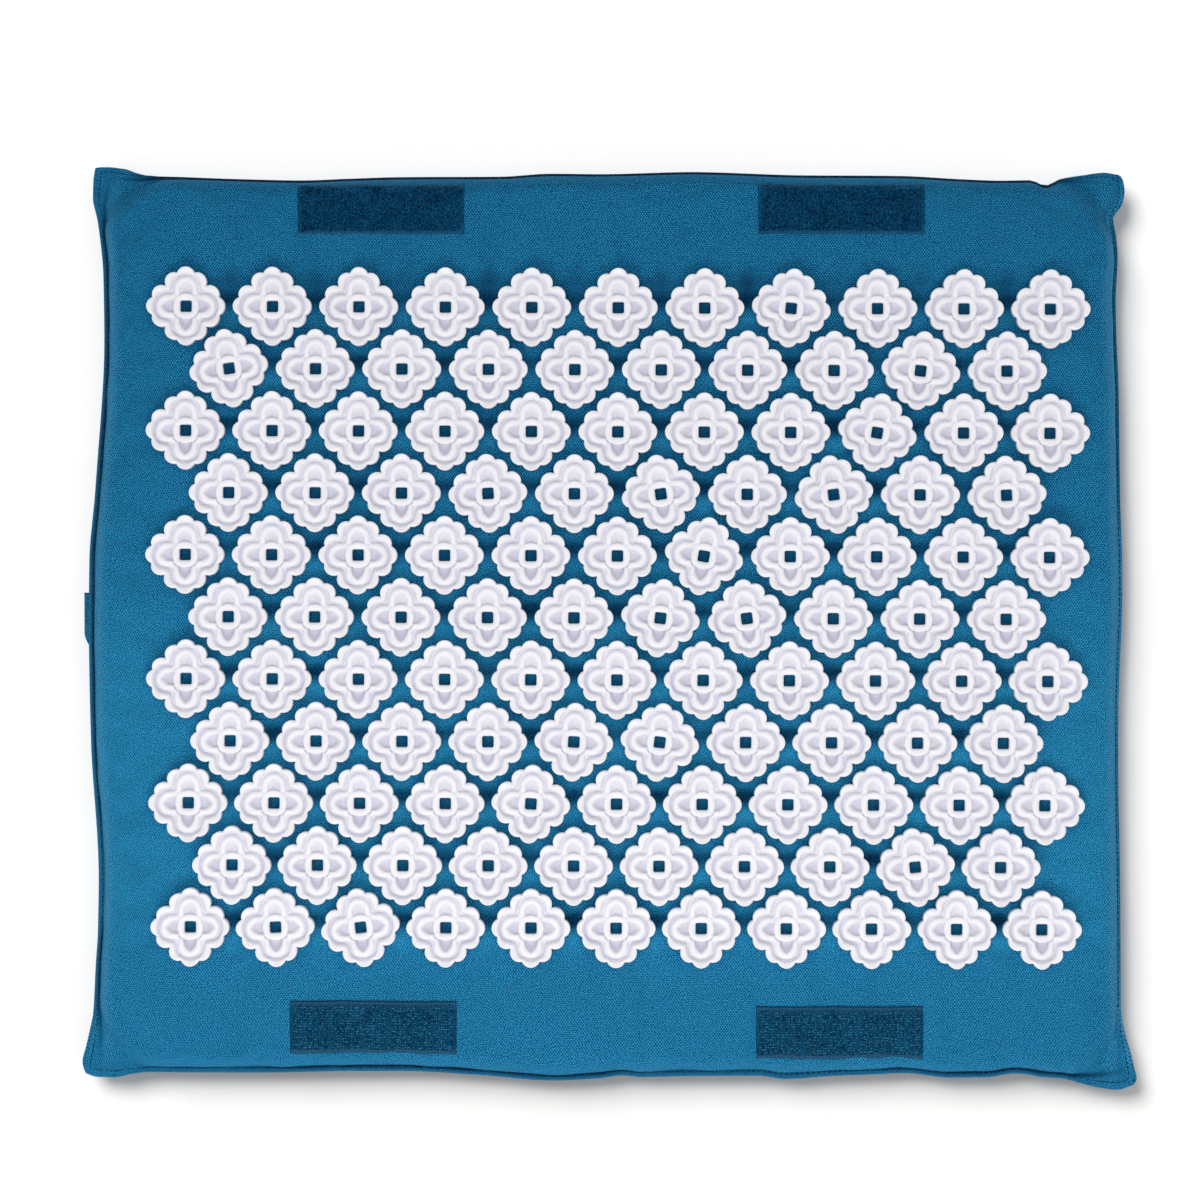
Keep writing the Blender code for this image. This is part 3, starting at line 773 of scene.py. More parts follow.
def cloth_swell(lines_x, lines_y):
    """Cloth simulation of the top panel, held by seam and rosettes: how each point moves."""
    x, y = np.meshgrid(lines_x, lines_y, indexing="ij")
    points = top_points(x, y)
    mesh = new_mesh("swelling", points.reshape(-1, 3), grid_faces(*x.shape))
    helper = new_object("swelling", mesh)
    held = helper.vertex_groups.new(name="held")
    _, _, _, seam = cover_shape(x, y)
    fixed = ((near_rosette(x, y) < HELD_RADIUS) | (seam > 0.35)).ravel()
    held.add([int(i) for i in np.nonzero(fixed)[0]], 1.0, "REPLACE")
    cloth = helper.modifiers.new("cloth", "CLOTH")
    for name, value in {
        "quality": 6, "mass": 0.25, "tension_stiffness": 20, "compression_stiffness": 12,
        "shear_stiffness": 6, "bending_stiffness": 0.25, "air_damping": 2, "shrink_min": -0.018,
        "use_pressure": True, "uniform_pressure_force": 4, "vertex_group_mass": "held",
    }.items():
        setattr(cloth.settings, name, value)
    cloth.settings.effector_weights.gravity = 0
    cloth.collision_settings.use_collision = False
    cloth.point_cache.frame_start = 1
    cloth.point_cache.frame_end = SWELL_FRAMES
    scene = bpy.context.scene
    for step in range(1, SWELL_FRAMES + 1):
        scene.frame_set(step)
    depsgraph = bpy.context.evaluated_depsgraph_get()
    swollen = helper.evaluated_get(depsgraph).data
    after = np.empty(len(mesh.vertices) * 3, dtype=np.float32)
    swollen.vertices.foreach_get("co", after)
    moved = after.reshape(points.shape) - points
    scene.frame_set(1)
    drop(helper)
    length = np.linalg.norm(moved, axis=2, keepdims=True)
    return moved * np.minimum(1.0, SWELL_MOST / np.maximum(length, 1e-9))


def swell_at(x, y):
    """The simulated movement at any places, from its own grid."""
    if SWELL is None:
        return np.zeros(x.shape + (3,))
    lines_x, lines_y, moved = SWELL
    i = np.clip(np.searchsorted(lines_x, x) - 1, 0, len(lines_x) - 2)
    j = np.clip(np.searchsorted(lines_y, y) - 1, 0, len(lines_y) - 2)
    s = np.clip((x - lines_x[i]) / (lines_x[i + 1] - lines_x[i]), 0, 1)[..., None]
    t = np.clip((y - lines_y[j]) / (lines_y[j + 1] - lines_y[j]), 0, 1)[..., None]
    s, t = s * s * (3 - 2 * s), t * t * (3 - 2 * t)
    low = moved[i, j] * (1 - s) + moved[i + 1, j] * s
    high = moved[i, j + 1] * (1 - s) + moved[i + 1, j + 1] * s
    return low * (1 - t) + high * t


def ear_creases(x, y):
    """Short folds that fan out from the pad's corners into the ears."""
    lift = np.zeros_like(x)
    for sign_x, sign_y, turn, strength in EAR_FOLDS:
        corner_x = sign_x * (HALF_LENGTH - EAR_FOLD_START)
        corner_y = sign_y * (HALF_WIDTH - EAR_FOLD_START)
        out_x, out_y = (x - corner_x) * sign_x, (y - corner_y) * sign_y
        reach = np.hypot(out_x, out_y)
        angle = np.arctan2(out_y, out_x)
        inside = np.clip((reach - 5 * MM) / (9 * MM), 0, 1)
        inside = inside * (out_x > -4 * MM) * (out_y > -4 * MM)
        folds = np.sin(angle * 9.0 + turn + 2.0 * np.sin(reach * 240))
        lift = lift + strength * EAR_FOLD_HEIGHT * inside * folds
    return lift


def top_points(x, y):
    """The top panel's outer face at places on the straight-sided mat, before it swells."""
    rise, bulge_x, bulge_y, seam = cover_shape(x, y)
    shift_x, shift_y = plan_shift(x, y)
    level = SEAM_HEIGHT + FLANGE_FACE
    z = level + (PAD_THICKNESS - level) * rise + seam_lift(x, y, seam)
    z = z + ear_creases(x, y) * seam
    free = np.clip((near_rosette(x, y) - FREE_RADIUS) / FREE_WIDTH, 0, 1)
    uneven = wander(x, y, 34.0, 1.5) * 0.35 * MM + wander(x, y, 90.0, 5.5) * 0.12 * MM
    z = z + uneven * free * (1 - seam)
    return np.stack((x + shift_x + bulge_x + SHIFT_X, y + shift_y + bulge_y + SHIFT_Y, z), axis=2)


def grid_faces(count_x, count_y):
    corner = (np.arange(count_x - 1)[:, None] * count_y + np.arange(count_y - 1)[None, :]).ravel()
    quads = np.column_stack((corner, corner + count_y, corner + count_y + 1, corner + 1))
    return quads.tolist()


def flat_places(points, rise=1.0):
    """Where a grid's points lie on the flat cloth, by their run along its middle lines."""
    count_x, count_y = points.shape[:2]
    points = points * (1.0, 1.0, rise)
    along = np.linalg.norm(np.diff(points[:, count_y // 2], axis=0), axis=1)
    across = np.linalg.norm(np.diff(points[count_x // 2], axis=0), axis=1)
    u = np.concatenate(([0.0], np.cumsum(along)))
    v = np.concatenate(([0.0], np.cumsum(across)))
    return np.stack(np.meshgrid(u, v, indexing="ij"), axis=2).reshape(-1, 2)


SWELL = None
swell_lines = cover_lines(SWELL_SPACING)
SWELL = (*swell_lines, cloth_swell(*swell_lines))


def top_surface(x, y):
    """The finished top face at places on the straight-sided mat."""
    return top_points(x, y) + swell_at(x, y)


def on_top(x, y):
    """The finished top face under real places of the plan."""
    place_x, place_y = straight_place(x, y)
    return top_surface(place_x, place_y)


# ---------------------------------------------------------------- cover and pad

def bell(offset, width):
    """1 where the offset is nothing, fading away on both sides."""
    return np.exp(-(offset / width) ** 2)


def painted_gap_light_and_shade(x, y):
    """(painted light, painted shade) on the canvas beside each narrow gap between two rosettes of
    one row:
    light to the south of the gap, shade to its north, and more shade to the north of the first row.
    """
    painted_light, shaded = np.zeros_like(x), np.zeros_like(x)
    for (row, column, first, _), (next_row, _, second, _) in zip(PLACES, PLACES[1:]):
        if row != next_row:
            continue
        middle_x, middle_y = (first[0] + second[0]) / 2, (first[1] + second[1]) / 2
        strength = 0.75 + 0.6 * noise.noise((row * 1.7, column * 2.3, 0.4))
        run = bell(x - middle_x, 4.2 * MM)
        painted_light = painted_light + strength * run * bell(y - middle_y + 5.4 * MM, 3.6 * MM)
        shaded = shaded + strength * run * bell(y - middle_y - 2.7 * MM, 3.0 * MM)
        if row == 0:
            shaded = shaded + 0.55 * strength * run * bell(y - middle_y - 10 * MM, 4.5 * MM)
    return painted_light, shaded


def seam_marks(x, y):
    """(wear and painted highlight, painted shade, painted light) for the canvas's finish."""
    wear_and_highlight, sunk = np.zeros_like(x), np.zeros_like(x)
    share = y / MAT_WIDTH + 0.5
    for side, distance, flange, ear, _ in sides_of(x, y):
        width = flange + EAR_FLAT * ear
        off_ear = 1 - ear
        depth = crevice_depth(side, x, y) * (1 - 0.85 * ear)

        # Painted shade: the dark line at the wall's foot, wider out over the flange than up the
        # wall
        inward = 0.6 + 0.75 * depth
        upward = 0.3 if side == "top" else 0.95
        on_flange = distance < width - 0.3 * MM
        band = np.where(on_flange, inward, np.minimum(inward, upward)) * MM
        line = 1.25 * depth * bell(distance - width + 0.3 * MM, band)
        # Painted shade over the top flange, which lies in the pad's shadow
        if side == "top":
            rim = np.clip(2.2 - distance / (0.65 * MM), 0, 1)
            line = np.maximum(line, 0.9 * depth * off_ear * rim)
        # Painted shade on the strip of flange that shows outside the right wall, and a painted
        # highlight on the scalloped line just inside it
        if side == "right":
            strip = np.interp(share, *zip(*RIGHT_STRIP)) * MM
            scallop = distance + 0.6 * MM * wander(x, y, 140.0, 2.5)
            shown = np.clip((strip - scallop) / (0.3 * MM) + 0.5, 0, 1) * (strip > 0)
            line = np.maximum(0.2 * line, 0.3 * shown * off_ear)
            wear_and_highlight = np.maximum(wear_and_highlight, 0.9 * off_ear * bell(scallop - strip - 1.2 * MM, 0.9 * MM))
        # Along the flange's outer rim: paler with wear and painted highlight, over a band of
        # painted shade
        if side in ("left", "bottom"):
            edge = np.clip(1.05 - distance / (0.9 * MM), 0, 1)
            wear_and_highlight = np.maximum(wear_and_highlight, 0.4 * edge * (1 - 0.5 * ear))
            rim = np.clip(2.0 - distance / (0.8 * MM), 0, 1)
            line = np.maximum(line, 0.35 * off_ear * rim)
        # Painted highlight on the shoulder just above the wall's foot
        if side != "top":
            pale = 0.05 if side == "bottom" else 0.5
            shoulder = bell(distance - width - 2.6 * MM, 1.9 * MM)
            wear_and_highlight = np.maximum(wear_and_highlight, pale * off_ear * shoulder)
        sunk = np.maximum(sunk, line)
    painted_light, shaded = painted_gap_light_and_shade(x, y)
    # Painted shade on the canvas in each rosette's hole
    in_hole = 0.35 * (near_rosette(x, y) < HOLE_SHADE_RADIUS)
    # Painted fall-off of the light across the mat
    painted_falloff = np.interp(share, *zip(*PAINTED_FALLOFF))
    return wear_and_highlight, np.maximum(sunk, np.maximum(in_hole, 1.2 * shaded)), painted_light + painted_falloff


def cover_panel(name, node, x, y, points, faces, canvas):
    mesh = new_mesh(name, points.reshape(-1, 3), faces, canvas)
    add_cloth_map(mesh, flat_places(points, STRETCHED))
    # Wear and painted highlight, painted shade and painted light go to the canvas as attributes
    for mark, values in zip(("wear_and_highlight", "sunk", "lit"), seam_marks(x, y)):
        add_values(mesh, mark, values)
    piece = add_piece(name, thickened(mesh, name, FABRIC), [node])


def cover_top(canvas):
    x, y = np.meshgrid(*cover_lines(TOP_SPACING), indexing="ij")
    cover_panel("cover_top", "top_panel", x, y, top_surface(x, y), grid_faces(*x.shape), canvas)


def bottom_points(x, y):
    """The bottom panel's outer face: flat on the ground, and up to the seam at its rim."""
    rise, bulge_x, bulge_y, seam = cover_shape(x, y)
    shift_x, shift_y = plan_shift(x, y)
    z = (SEAM_HEIGHT - FLANGE_FACE) * (1 - rise) + seam_lift(x, y, seam)
    z = np.maximum(z, 0.0)
    return np.stack((x + shift_x + bulge_x + SHIFT_X, y + shift_y + bulge_y + SHIFT_Y, z), axis=2)


def cover_bottom(canvas):
    x, y = np.meshgrid(*cover_lines(BOTTOM_SPACING), indexing="ij")
    faces = [quad[::-1] for quad in grid_faces(*x.shape)]
    cover_panel("cover_bottom", "bottom_panel", x, y, bottom_points(x, y), faces, canvas)


def rounded_corners(x, y, round_radius):
    """Draws a grid's four square corners in to round ones."""
    middle_x, middle_y = (x.min() + x.max()) / 2, (y.min() + y.max()) / 2
    over_x = np.abs(x - middle_x) - (x.max() - middle_x - round_radius)
    over_y = np.abs(y - middle_y) - (y.max() - middle_y - round_radius)
    corner = (over_x > 0) & (over_y > 0)
    over_x, over_y = np.maximum(over_x, 1e-9), np.maximum(over_y, 1e-9)
    draw = np.where(corner, np.maximum(over_x, over_y) / np.hypot(over_x, over_y), 1.0)
    new_x = x + np.sign(x - middle_x) * np.where(corner, over_x * (draw - 1), 0.0)
    new_y = y + np.sign(y - middle_y) * np.where(corner, over_y * (draw - 1), 0.0)
    return new_x, new_y


def foam_pad(foam):
    """The pad fills the cover, free of it by a gap: two grids joined round their rims."""
    inset = 5.2 * MM
    left, right = -HALF_LENGTH + FLANGE_LEFT + inset, HALF_LENGTH - FLANGE_RIGHT - inset
    low, high = -HALF_WIDTH + FLANGE_BOTTOM + inset, HALF_WIDTH - FLANGE_TOP - inset
    lines_x, lines_y = np.linspace(left, right, 90), np.linspace(low, high, 80)
    x, y = np.meshgrid(lines_x, lines_y, indexing="ij")
    clear = FABRIC + GAP + 0.2 * MM
    rim_x = np.minimum(x - lines_x[0], lines_x[-1] - x)
    rim_y = np.minimum(y - lines_y[0], lines_y[-1] - y)
    round_off = 3.0 * MM * np.exp(-np.minimum(rim_x, rim_y) / (2.5 * MM))
    x, y = rounded_corners(x, y, 22 * MM)
    upper = top_surface(x, y)
    upper[..., 2] -= clear + round_off
    lower = bottom_points(x, y)
    lower[..., 2] += clear + round_off
    lower[..., :2] = upper[..., :2]
    count = x.size
    points = np.vstack((upper.reshape(-1, 3), lower.reshape(-1, 3)))
    faces = grid_faces(*x.shape)
    faces += [[i + count for i in quad[::-1]] for quad in faces]
    index = np.arange(count).reshape(x.shape)
    rim = (index[:, 0], index[-1, 1:], index[-2::-1, -1], index[0, -2:0:-1])
    rim = np.concatenate(rim).tolist()
    for first, second in zip(rim, rim[1:] + rim[:1]):
        faces.append([second, first, first + count, second + count])
    piece = add_piece("foam_pad", new_mesh("foam_pad", points, faces, foam), ["foam_core"])


# ---------------------------------------------------------------- rosettes

# Points round each ring, and the rim: radii of the petals' tips and of the notches between them
RING_POINTS = 96
APEX_AXIS = 15.15 * MM
APEX_SIDE = 13.8 * MM
NOTCH_AXIS = 13.4 * MM
NOTCH_CORNER = 11.1 * MM

# Heights over the foot
SPIKE_HEIGHT = 5.5 * MM
NOTCH_HEIGHT = 4.2 * MM
BAND_HEIGHT = 4.9 * MM
GROOVE_HEIGHT = 2.9 * MM
CREST_HEIGHT = 4.5 * MM
WAIST_HEIGHT = 4.0 * MM
COLLAR_HEIGHT = 3.9 * MM

# The collar, the square hole in it, the lobes and the waists between them
COLLAR_RADIUS = 5.0 * MM
HOLE_WIDTH = 4.4 * MM
HOLE_CORNER = 0.7 * MM
LOBE_MIDDLE = 6.85 * MM
LOBE_HALF = 3.5 * MM
WAIST_ROUND = 2.4 * MM

# Degrees from the nearest axis, and the radius there in mm, of the groove and of a lobe's hollow
GROOVE_LINE = (
    (0.0, 11.85), (15.0, 11.75), (20.0, 11.35), (25.0, 10.75), (30.0, 9.75), (35.0, 8.75),
    (40.0, 8.2), (45.0, 8.05),
)
HOLLOW_LINE = (
    (0.0, 9.5), (5.0, 9.0), (10.0, 8.4), (15.0, 7.8), (20.0, 7.1), (25.0, 6.1), (29.0, 5.55),
    (45.0, 5.5),
)


def circle_through(first, second, third):
    """Middle and radius of the circle through three points."""
    a, b, c = (complex(*point) for point in (first, second, third))
    w = (c - a) / (b - a)
    middle = (b - a) * (w - abs(w) ** 2) / (2j * w.imag) + a
    return (middle.real, middle.imag), abs(a - middle)


def petal_line(angles):
    """(radius, share of the petal's height) of the rim at each angle: twelve round petals."""
    def at(radius, degrees):
        return (radius * math.cos(math.radians(degrees)), radius * math.sin(math.radians(degrees)))

    radii, arches = np.zeros_like(angles), np.zeros_like(angles)
    for k, angle in enumerate(angles):
        degrees = math.degrees(angle) % 360
        petal = round(degrees / 30) % 12
        middle = petal * 30
        on_axis = petal % 3 == 0
        notches = []
        for side in (-15, 15):
            corner = (middle + side) % 90 == 45
            notches.append(at(NOTCH_CORNER if corner else NOTCH_AXIS, middle + side))
        apex = at(APEX_AXIS if on_axis else APEX_SIDE, middle)
        (mid_x, mid_y), radius = circle_through(notches[0], apex, notches[1])
        reach = math.cos(angle) * mid_x + math.sin(angle) * mid_y
        radii[k] = reach + math.sqrt(reach ** 2 - mid_x ** 2 - mid_y ** 2 + radius ** 2)
        away = abs((degrees - middle + 180) % 360 - 180) / 15
        arches[k] = max(0.0, 1 - 0.22 * away - 0.78 * away ** 2.4) * (1.0 if on_axis else 0.95)
    return radii, arches


def hole_line(angles):
    """Radius of the square hole with rounded corners."""
    half = HOLE_WIDTH / 2
    radii = []
    for angle in angles:
        c, s = abs(math.cos(angle)), abs(math.sin(angle))
        straight = half / max(c, s)
        inner = half - HOLE_CORNER
        x, y = straight * c, straight * s
        if min(x, y) > inner:
            dot = (c + s) * inner
            straight = dot + math.sqrt(max(0.0, dot ** 2 - 2 * inner ** 2 + HOLE_CORNER ** 2))
        radii.append(straight)
    return np.array(radii)


def lobe_line(fold):
    """Crest of the inner ridge: a round-ended lobe on each axis, a round waist between two."""
    def half_chord(radius, off):
        return np.sqrt(np.maximum(0, radius ** 2 - off ** 2))

    end = LOBE_MIDDLE * np.cos(fold) + half_chord(LOBE_HALF, LOBE_MIDDLE * np.sin(fold))
    side = LOBE_HALF / np.maximum(np.sin(fold), 0.01)
    waist_middle = (LOBE_HALF + WAIST_ROUND) * math.sqrt(2)
    away = math.pi / 4 - fold
    waist = waist_middle * np.cos(away) - half_chord(WAIST_ROUND, waist_middle * np.sin(away))
    end_turn = math.atan2(LOBE_HALF, LOBE_MIDDLE)
    side_turn = math.atan2(LOBE_HALF, LOBE_HALF + WAIST_ROUND)
    return np.where(fold < end_turn, end, np.where(fold < side_turn, side, waist))


def line_by_turn(table, degrees):
    knots = np.array(table)
    return smooth_through(knots[:, 0], knots[:, 1] * MM, degrees)


def rosette_rings():
    """(points all round, painted shade) of each ring, from the foot over petals and lobes to the
    hole.
    """
    angles = np.arange(RING_POINTS) * math.tau / RING_POINTS
    fold = np.abs((angles + math.pi / 4) % (math.pi / 2) - math.pi / 4)
    degrees = np.degrees(fold)
    flat = np.ones_like(angles)
    ways = np.column_stack((np.cos(angles), np.sin(angles)))
    rim, arch = petal_line(angles)
    petal = NOTCH_HEIGHT + (SPIKE_HEIGHT - NOTCH_HEIGHT) * arch
    groove = line_by_turn(GROOVE_LINE, degrees)
    band = rim - groove
    crest_line = ways * lobe_line(fold)[:, None]
    along = np.roll(crest_line, -1, axis=0) - np.roll(crest_line, 1, axis=0)
    outward = np.column_stack((along[:, 1], -along[:, 0])) / np.linalg.norm(along, axis=1)[:, None]
    waist = np.clip((degrees - 20) / 25, 0, 1)
    crest = CREST_HEIGHT + (WAIST_HEIGHT - CREST_HEIGHT) * waist ** 2 * (3 - 2 * waist)
    shut = np.clip((degrees - 22) / 12, 0, 1)
    hollow = line_by_turn(HOLLOW_LINE, degrees)
    bed_line = np.maximum(hollow - 1.1 * MM, COLLAR_RADIUS + 0.3 * MM)
    bed_end = 3.5 * MM + 0.2 * MM * shut
    bed = 2.9 * MM + 0.7 * MM * shut
    # Painted shade: darker in the grooves and in the hollows' beds and tips; the beds and tips
    # darker to the south and lighter to the north, the grooves darker to the east and west
    far, level = ways[:, 1], ways[:, 0] ** 2
    floor_tone = (0.9 - 0.5 * shut) * (1 - 0.2 * far)
    tip_tone = floor_tone * (1 - 0.3 * far)
    groove_tone = 0.5 + 0.25 * level
    hole = hole_line(angles)
    collar = flat * COLLAR_RADIUS

    def ring(radius, height):
        return np.column_stack((ways * radius[:, None], height * flat))

    def by_crest(offset, below):
        return np.column_stack((crest_line + outward * offset, crest - below))

    return [
        # The foot, the outer wall and the petals' crest
        (ring(rim - 0.1 * MM, 0.0), 0.2),
        (ring(rim, 0.45 * petal), 0.1),
        (ring(rim - 0.02 * MM, 0.88 * petal), 0.0),
        (ring(rim - 0.12 * MM, 0.975 * petal), 0.0),
        (ring(rim - 0.35 * MM, petal), 0.0),
        # The band inside the petals, and down into the groove
        (ring(rim - 0.26 * band, 0.4 * petal + 0.6 * BAND_HEIGHT), 0.0),
        (ring(rim - 0.5 * band, BAND_HEIGHT), 0.05),
        (ring(groove + 0.33 * band, BAND_HEIGHT - 0.2 * MM), 0.2),
        (ring(groove + 0.18 * band, BAND_HEIGHT - 0.8 * MM), 0.7 * groove_tone),
        (ring(groove + 0.05 * band, GROOVE_HEIGHT + 0.25 * MM), groove_tone),
        (ring(groove - 0.03 * band, GROOVE_HEIGHT), groove_tone),
        # Up over the ridge of the lobes and waists
        (by_crest(1.15 * MM, 0.95 * MM), 0.7 * groove_tone),
        (by_crest(0.85 * MM, 0.42 * MM), 0.2),
        (by_crest(0.5 * MM, 0.1 * MM), 0.05),
        (by_crest(0.0, 0.0), 0.0),
        (by_crest(-0.4 * MM, 0.04 * MM), 0.0),
        # Down into each lobe's hollow and along its bed
        (ring(hollow + 0.25 * MM, crest - 0.12 * MM), 0.05),
        (ring(hollow, crest - 0.4 * MM), 0.3),
        (ring(0.5 * (hollow + bed_line), 0.5 * (crest - 0.4 * MM + bed_end)), 0.8 * tip_tone),
        (ring(bed_line, bed_end), tip_tone),
        (ring(0.5 * (bed_line + collar + 0.2 * MM), 0.5 * (bed_end + bed)), floor_tone),
        (ring(collar + 0.2 * MM, bed), floor_tone),
        # The collar and the hole
        (ring(collar, 0.6 * bed + 0.4 * COLLAR_HEIGHT), 0.4 * floor_tone),
        (ring(collar - 0.2 * MM, COLLAR_HEIGHT - 0.12 * MM), 0.15),
        (ring(collar - 0.5 * MM, COLLAR_HEIGHT), 0.0),
        (ring(0.55 * (collar - 0.5 * MM) + 0.45 * hole, COLLAR_HEIGHT - 0.08 * MM), 0.0),
        (ring(hole + 0.25 * MM, COLLAR_HEIGHT - 0.3 * MM), 0.1),
        (ring(hole, COLLAR_HEIGHT - 0.7 * MM), 0.4),
        (ring(hole, 0.0), 1.0),
    ]


def rosette_mesh(plastic):
    rings = rosette_rings()
    points, tones, count = [], [], RING_POINTS
    for ring, tone in rings:
        points += [tuple(point) for point in ring]
        tones.append(tone * np.ones(count))
    faces = []
    for ring in range(len(rings)):
        after = (ring + 1) % len(rings)
        for i in range(count):
            j = (i + 1) % count
            faces.append((ring * count + i, ring * count + j, after * count + j, after * count + i))
    mesh = new_mesh("rosette", points, faces, plastic)
    # The rings' painted shade, which the plastic's finish reads as 'hollow'
    add_values(mesh, "hollow", np.concatenate(tones))
    return mesh


# ---------------------------------------------------------------- patterns of pieces

def pattern_tree(name, inputs):
    """A tree with named inputs, and a bench to build it on."""
    tree = bpy.data.node_groups.new(name, "GeometryNodeTree")
    tree.interface.new_socket("Geometry", in_out="OUTPUT", socket_type="NodeSocketGeometry")
    tree.interface.new_socket("Geometry", in_out="INPUT", socket_type="NodeSocketGeometry")
    for label, kind in inputs:
        tree.interface.new_socket(label, in_out="INPUT", socket_type="NodeSocket" + kind)
    bench = Bench(tree)
    outputs = bench.node("NodeGroupInput").socket.node.outputs
    return tree, bench, {socket.name: Wire(bench, socket) for socket in outputs if socket.name}


def end_pattern(bench, instances, finish):
    """Every instance is made real and given its finish."""
    real = bench.node("GeometryNodeRealizeInstances", {}, {"Geometry": instances})
    done = bench.node("GeometryNodeSetMaterial", {}, {"Geometry": real, "Material": finish})
    bench.node("NodeGroupOutput", {}, {"Geometry": done})


def set_on_points():
    """Sets the piece on each point, turned by the point's own angle."""
    inputs = (("Piece", "Object"), ("Finish", "Material"))
    tree, bench, given = pattern_tree("set_on_points", inputs)
    piece = bench.node("GeometryNodeObjectInfo", {}, {"Object": given["Piece"]}, "Geometry")
    turn = bench.node("GeometryNodeInputNamedAttribute", {"data_type": "FLOAT"}, {"Name": "turn"})
    rotation = bench.node("FunctionNodeEulerToRotation", {}, {0: bench.joined(0.0, 0.0, turn)})
    sockets = {"Points": given["Geometry"], "Instance": piece, "Rotation": rotation}
    end_pattern(bench, bench.node("GeometryNodeInstanceOnPoints", {}, sockets), given["Finish"])
    return tree


def run_of_stitches():
    """Sets a stitch at every pitch of a line, pointing along it."""
    inputs = (("Stitch", "Object"), ("Pitch", "Float"), ("Finish", "Material"))
    tree, bench, given = pattern_tree("run_of_stitches", inputs)
    line = bench.node("GeometryNodeMeshToCurve", {}, {"Mesh": given["Geometry"]})
    sockets = {"Curve": line, "Length": given["Pitch"]}
    steps = bench.node("GeometryNodeResampleCurve", {"mode": "LENGTH"}, sockets)
    stitch = bench.node("GeometryNodeObjectInfo", {}, {"Object": given["Stitch"]}, "Geometry")
    tangent = bench.node("GeometryNodeInputTangent")
    rotation = bench.node("FunctionNodeAlignRotationToVector", {"axis": "X"}, {"Vector": tangent})
    sockets = {"Points": steps, "Instance": stitch, "Rotation": rotation}
    end_pattern(bench, bench.node("GeometryNodeInstanceOnPoints", {}, sockets), given["Finish"])
    return tree


def scattered_pile():
    """Scatters the piece over faces, each one leaning and turned its own way."""
    inputs = (
        ("Piece", "Object"), ("Spacing", "Float"), ("Density", "Float"), ("Lean", "Float"),
        ("Seed", "Int"), ("Finish", "Material"),
    )
    tree, bench, given = pattern_tree("scattered_pile", inputs)
    sockets = {
        "Mesh": given["Geometry"], "Distance Min": given["Spacing"],
        "Density Max": given["Density"], "Seed": given["Seed"],
    }
    settings = {"distribute_method": "POISSON"}
    spots = bench.node("GeometryNodeDistributePointsOnFaces", settings, sockets)
    upright = Wire(bench, spots.socket.node.outputs["Rotation"])
    low = bench.joined(-given["Lean"], -given["Lean"], 0.0)
    high = bench.joined(given["Lean"], given["Lean"], math.tau)
    sockets = {"Min": low, "Max": high, "Seed": given["Seed"]}
    lean = bench.node("FunctionNodeRandomValue", {"data_type": "FLOAT_VECTOR"}, sockets)
    lean = bench.node("FunctionNodeEulerToRotation", {}, {0: lean})
    settings = {"rotation_space": "LOCAL"}
    rotation = bench.node("FunctionNodeRotateRotation", settings, {0: upright, 1: lean})
    sockets = {"Seed": given["Seed"] + 7.0, 2: 0.75, 3: 1.25}
    size = bench.node("FunctionNodeRandomValue", {"data_type": "FLOAT"}, sockets, 1)
    piece = bench.node("GeometryNodeObjectInfo", {}, {"Object": given["Piece"]}, "Geometry")
    sockets = {"Points": spots, "Instance": piece, "Rotation": rotation, "Scale": size}
    end_pattern(bench, bench.node("GeometryNodeInstanceOnPoints", {}, sockets), given["Finish"])
    return tree


def patterned(name, base, tree, values):
    """Runs a pattern over a base mesh and gives back the plain mesh."""
    def add(helper):
        modifier = helper.modifiers.new(name, "NODES")
        modifier.node_group = tree
        for item in tree.interface.items_tree:
            if item.in_out == "INPUT" and item.name in values:
                modifier[item.identifier] = values[item.name]
    return with_modifiers(base, name, add)


def point_mesh(name, points, turns):
    mesh = bpy.data.meshes.new(name)
    mesh.from_pydata([tuple(point) for point in points], [], [])
    add_values(mesh, "turn", turns)
    return mesh


def line_mesh(name, points, closed):
    edges = [(i, i + 1) for i in range(len(points) - 1)]
    if closed:
        edges.append((len(points) - 1, 0))
    mesh = bpy.data.meshes.new(name)
    mesh.from_pydata([tuple(point) for point in points], edges, [])
    return mesh


def tube_mesh(name, path, radii, sides):
    """A small closed tube along a path in the XZ plane."""
    points, faces = [], []
    end = len(path) - 1
    for i, (x, z) in enumerate(path):
        before, after = path[max(0, i - 1)], path[min(end, i + 1)]
        along = Vector((after[0] - before[0], 0.0, after[1] - before[1])).normalized()
        across = Vector((0.0, 1.0, 0.0))
        up = along.cross(across)
        for k in range(sides):
            angle = math.tau * k / sides
            offset = (across * math.cos(angle) + up * math.sin(angle)) * radii[i]
            points.append((x + offset.x, offset.y, z + offset.z))
    for i in range(0, end * sides, sides):
        for k in range(sides):
            j = (k + 1) % sides
            faces.append((i + k, i + j, i + sides + j, i + sides + k))
    faces.append(tuple(range(sides))[::-1])
    faces.append(tuple(end * sides + k for k in range(sides)))
    mesh = new_mesh(name, points, faces)
    bm = bmesh.new()
    bm.from_mesh(mesh)
    bmesh.ops.recalc_face_normals(bm, faces=bm.faces)
    bm.to_mesh(mesh)
    bm.free()
    return mesh


# ---------------------------------------------------------------- rows of rosettes

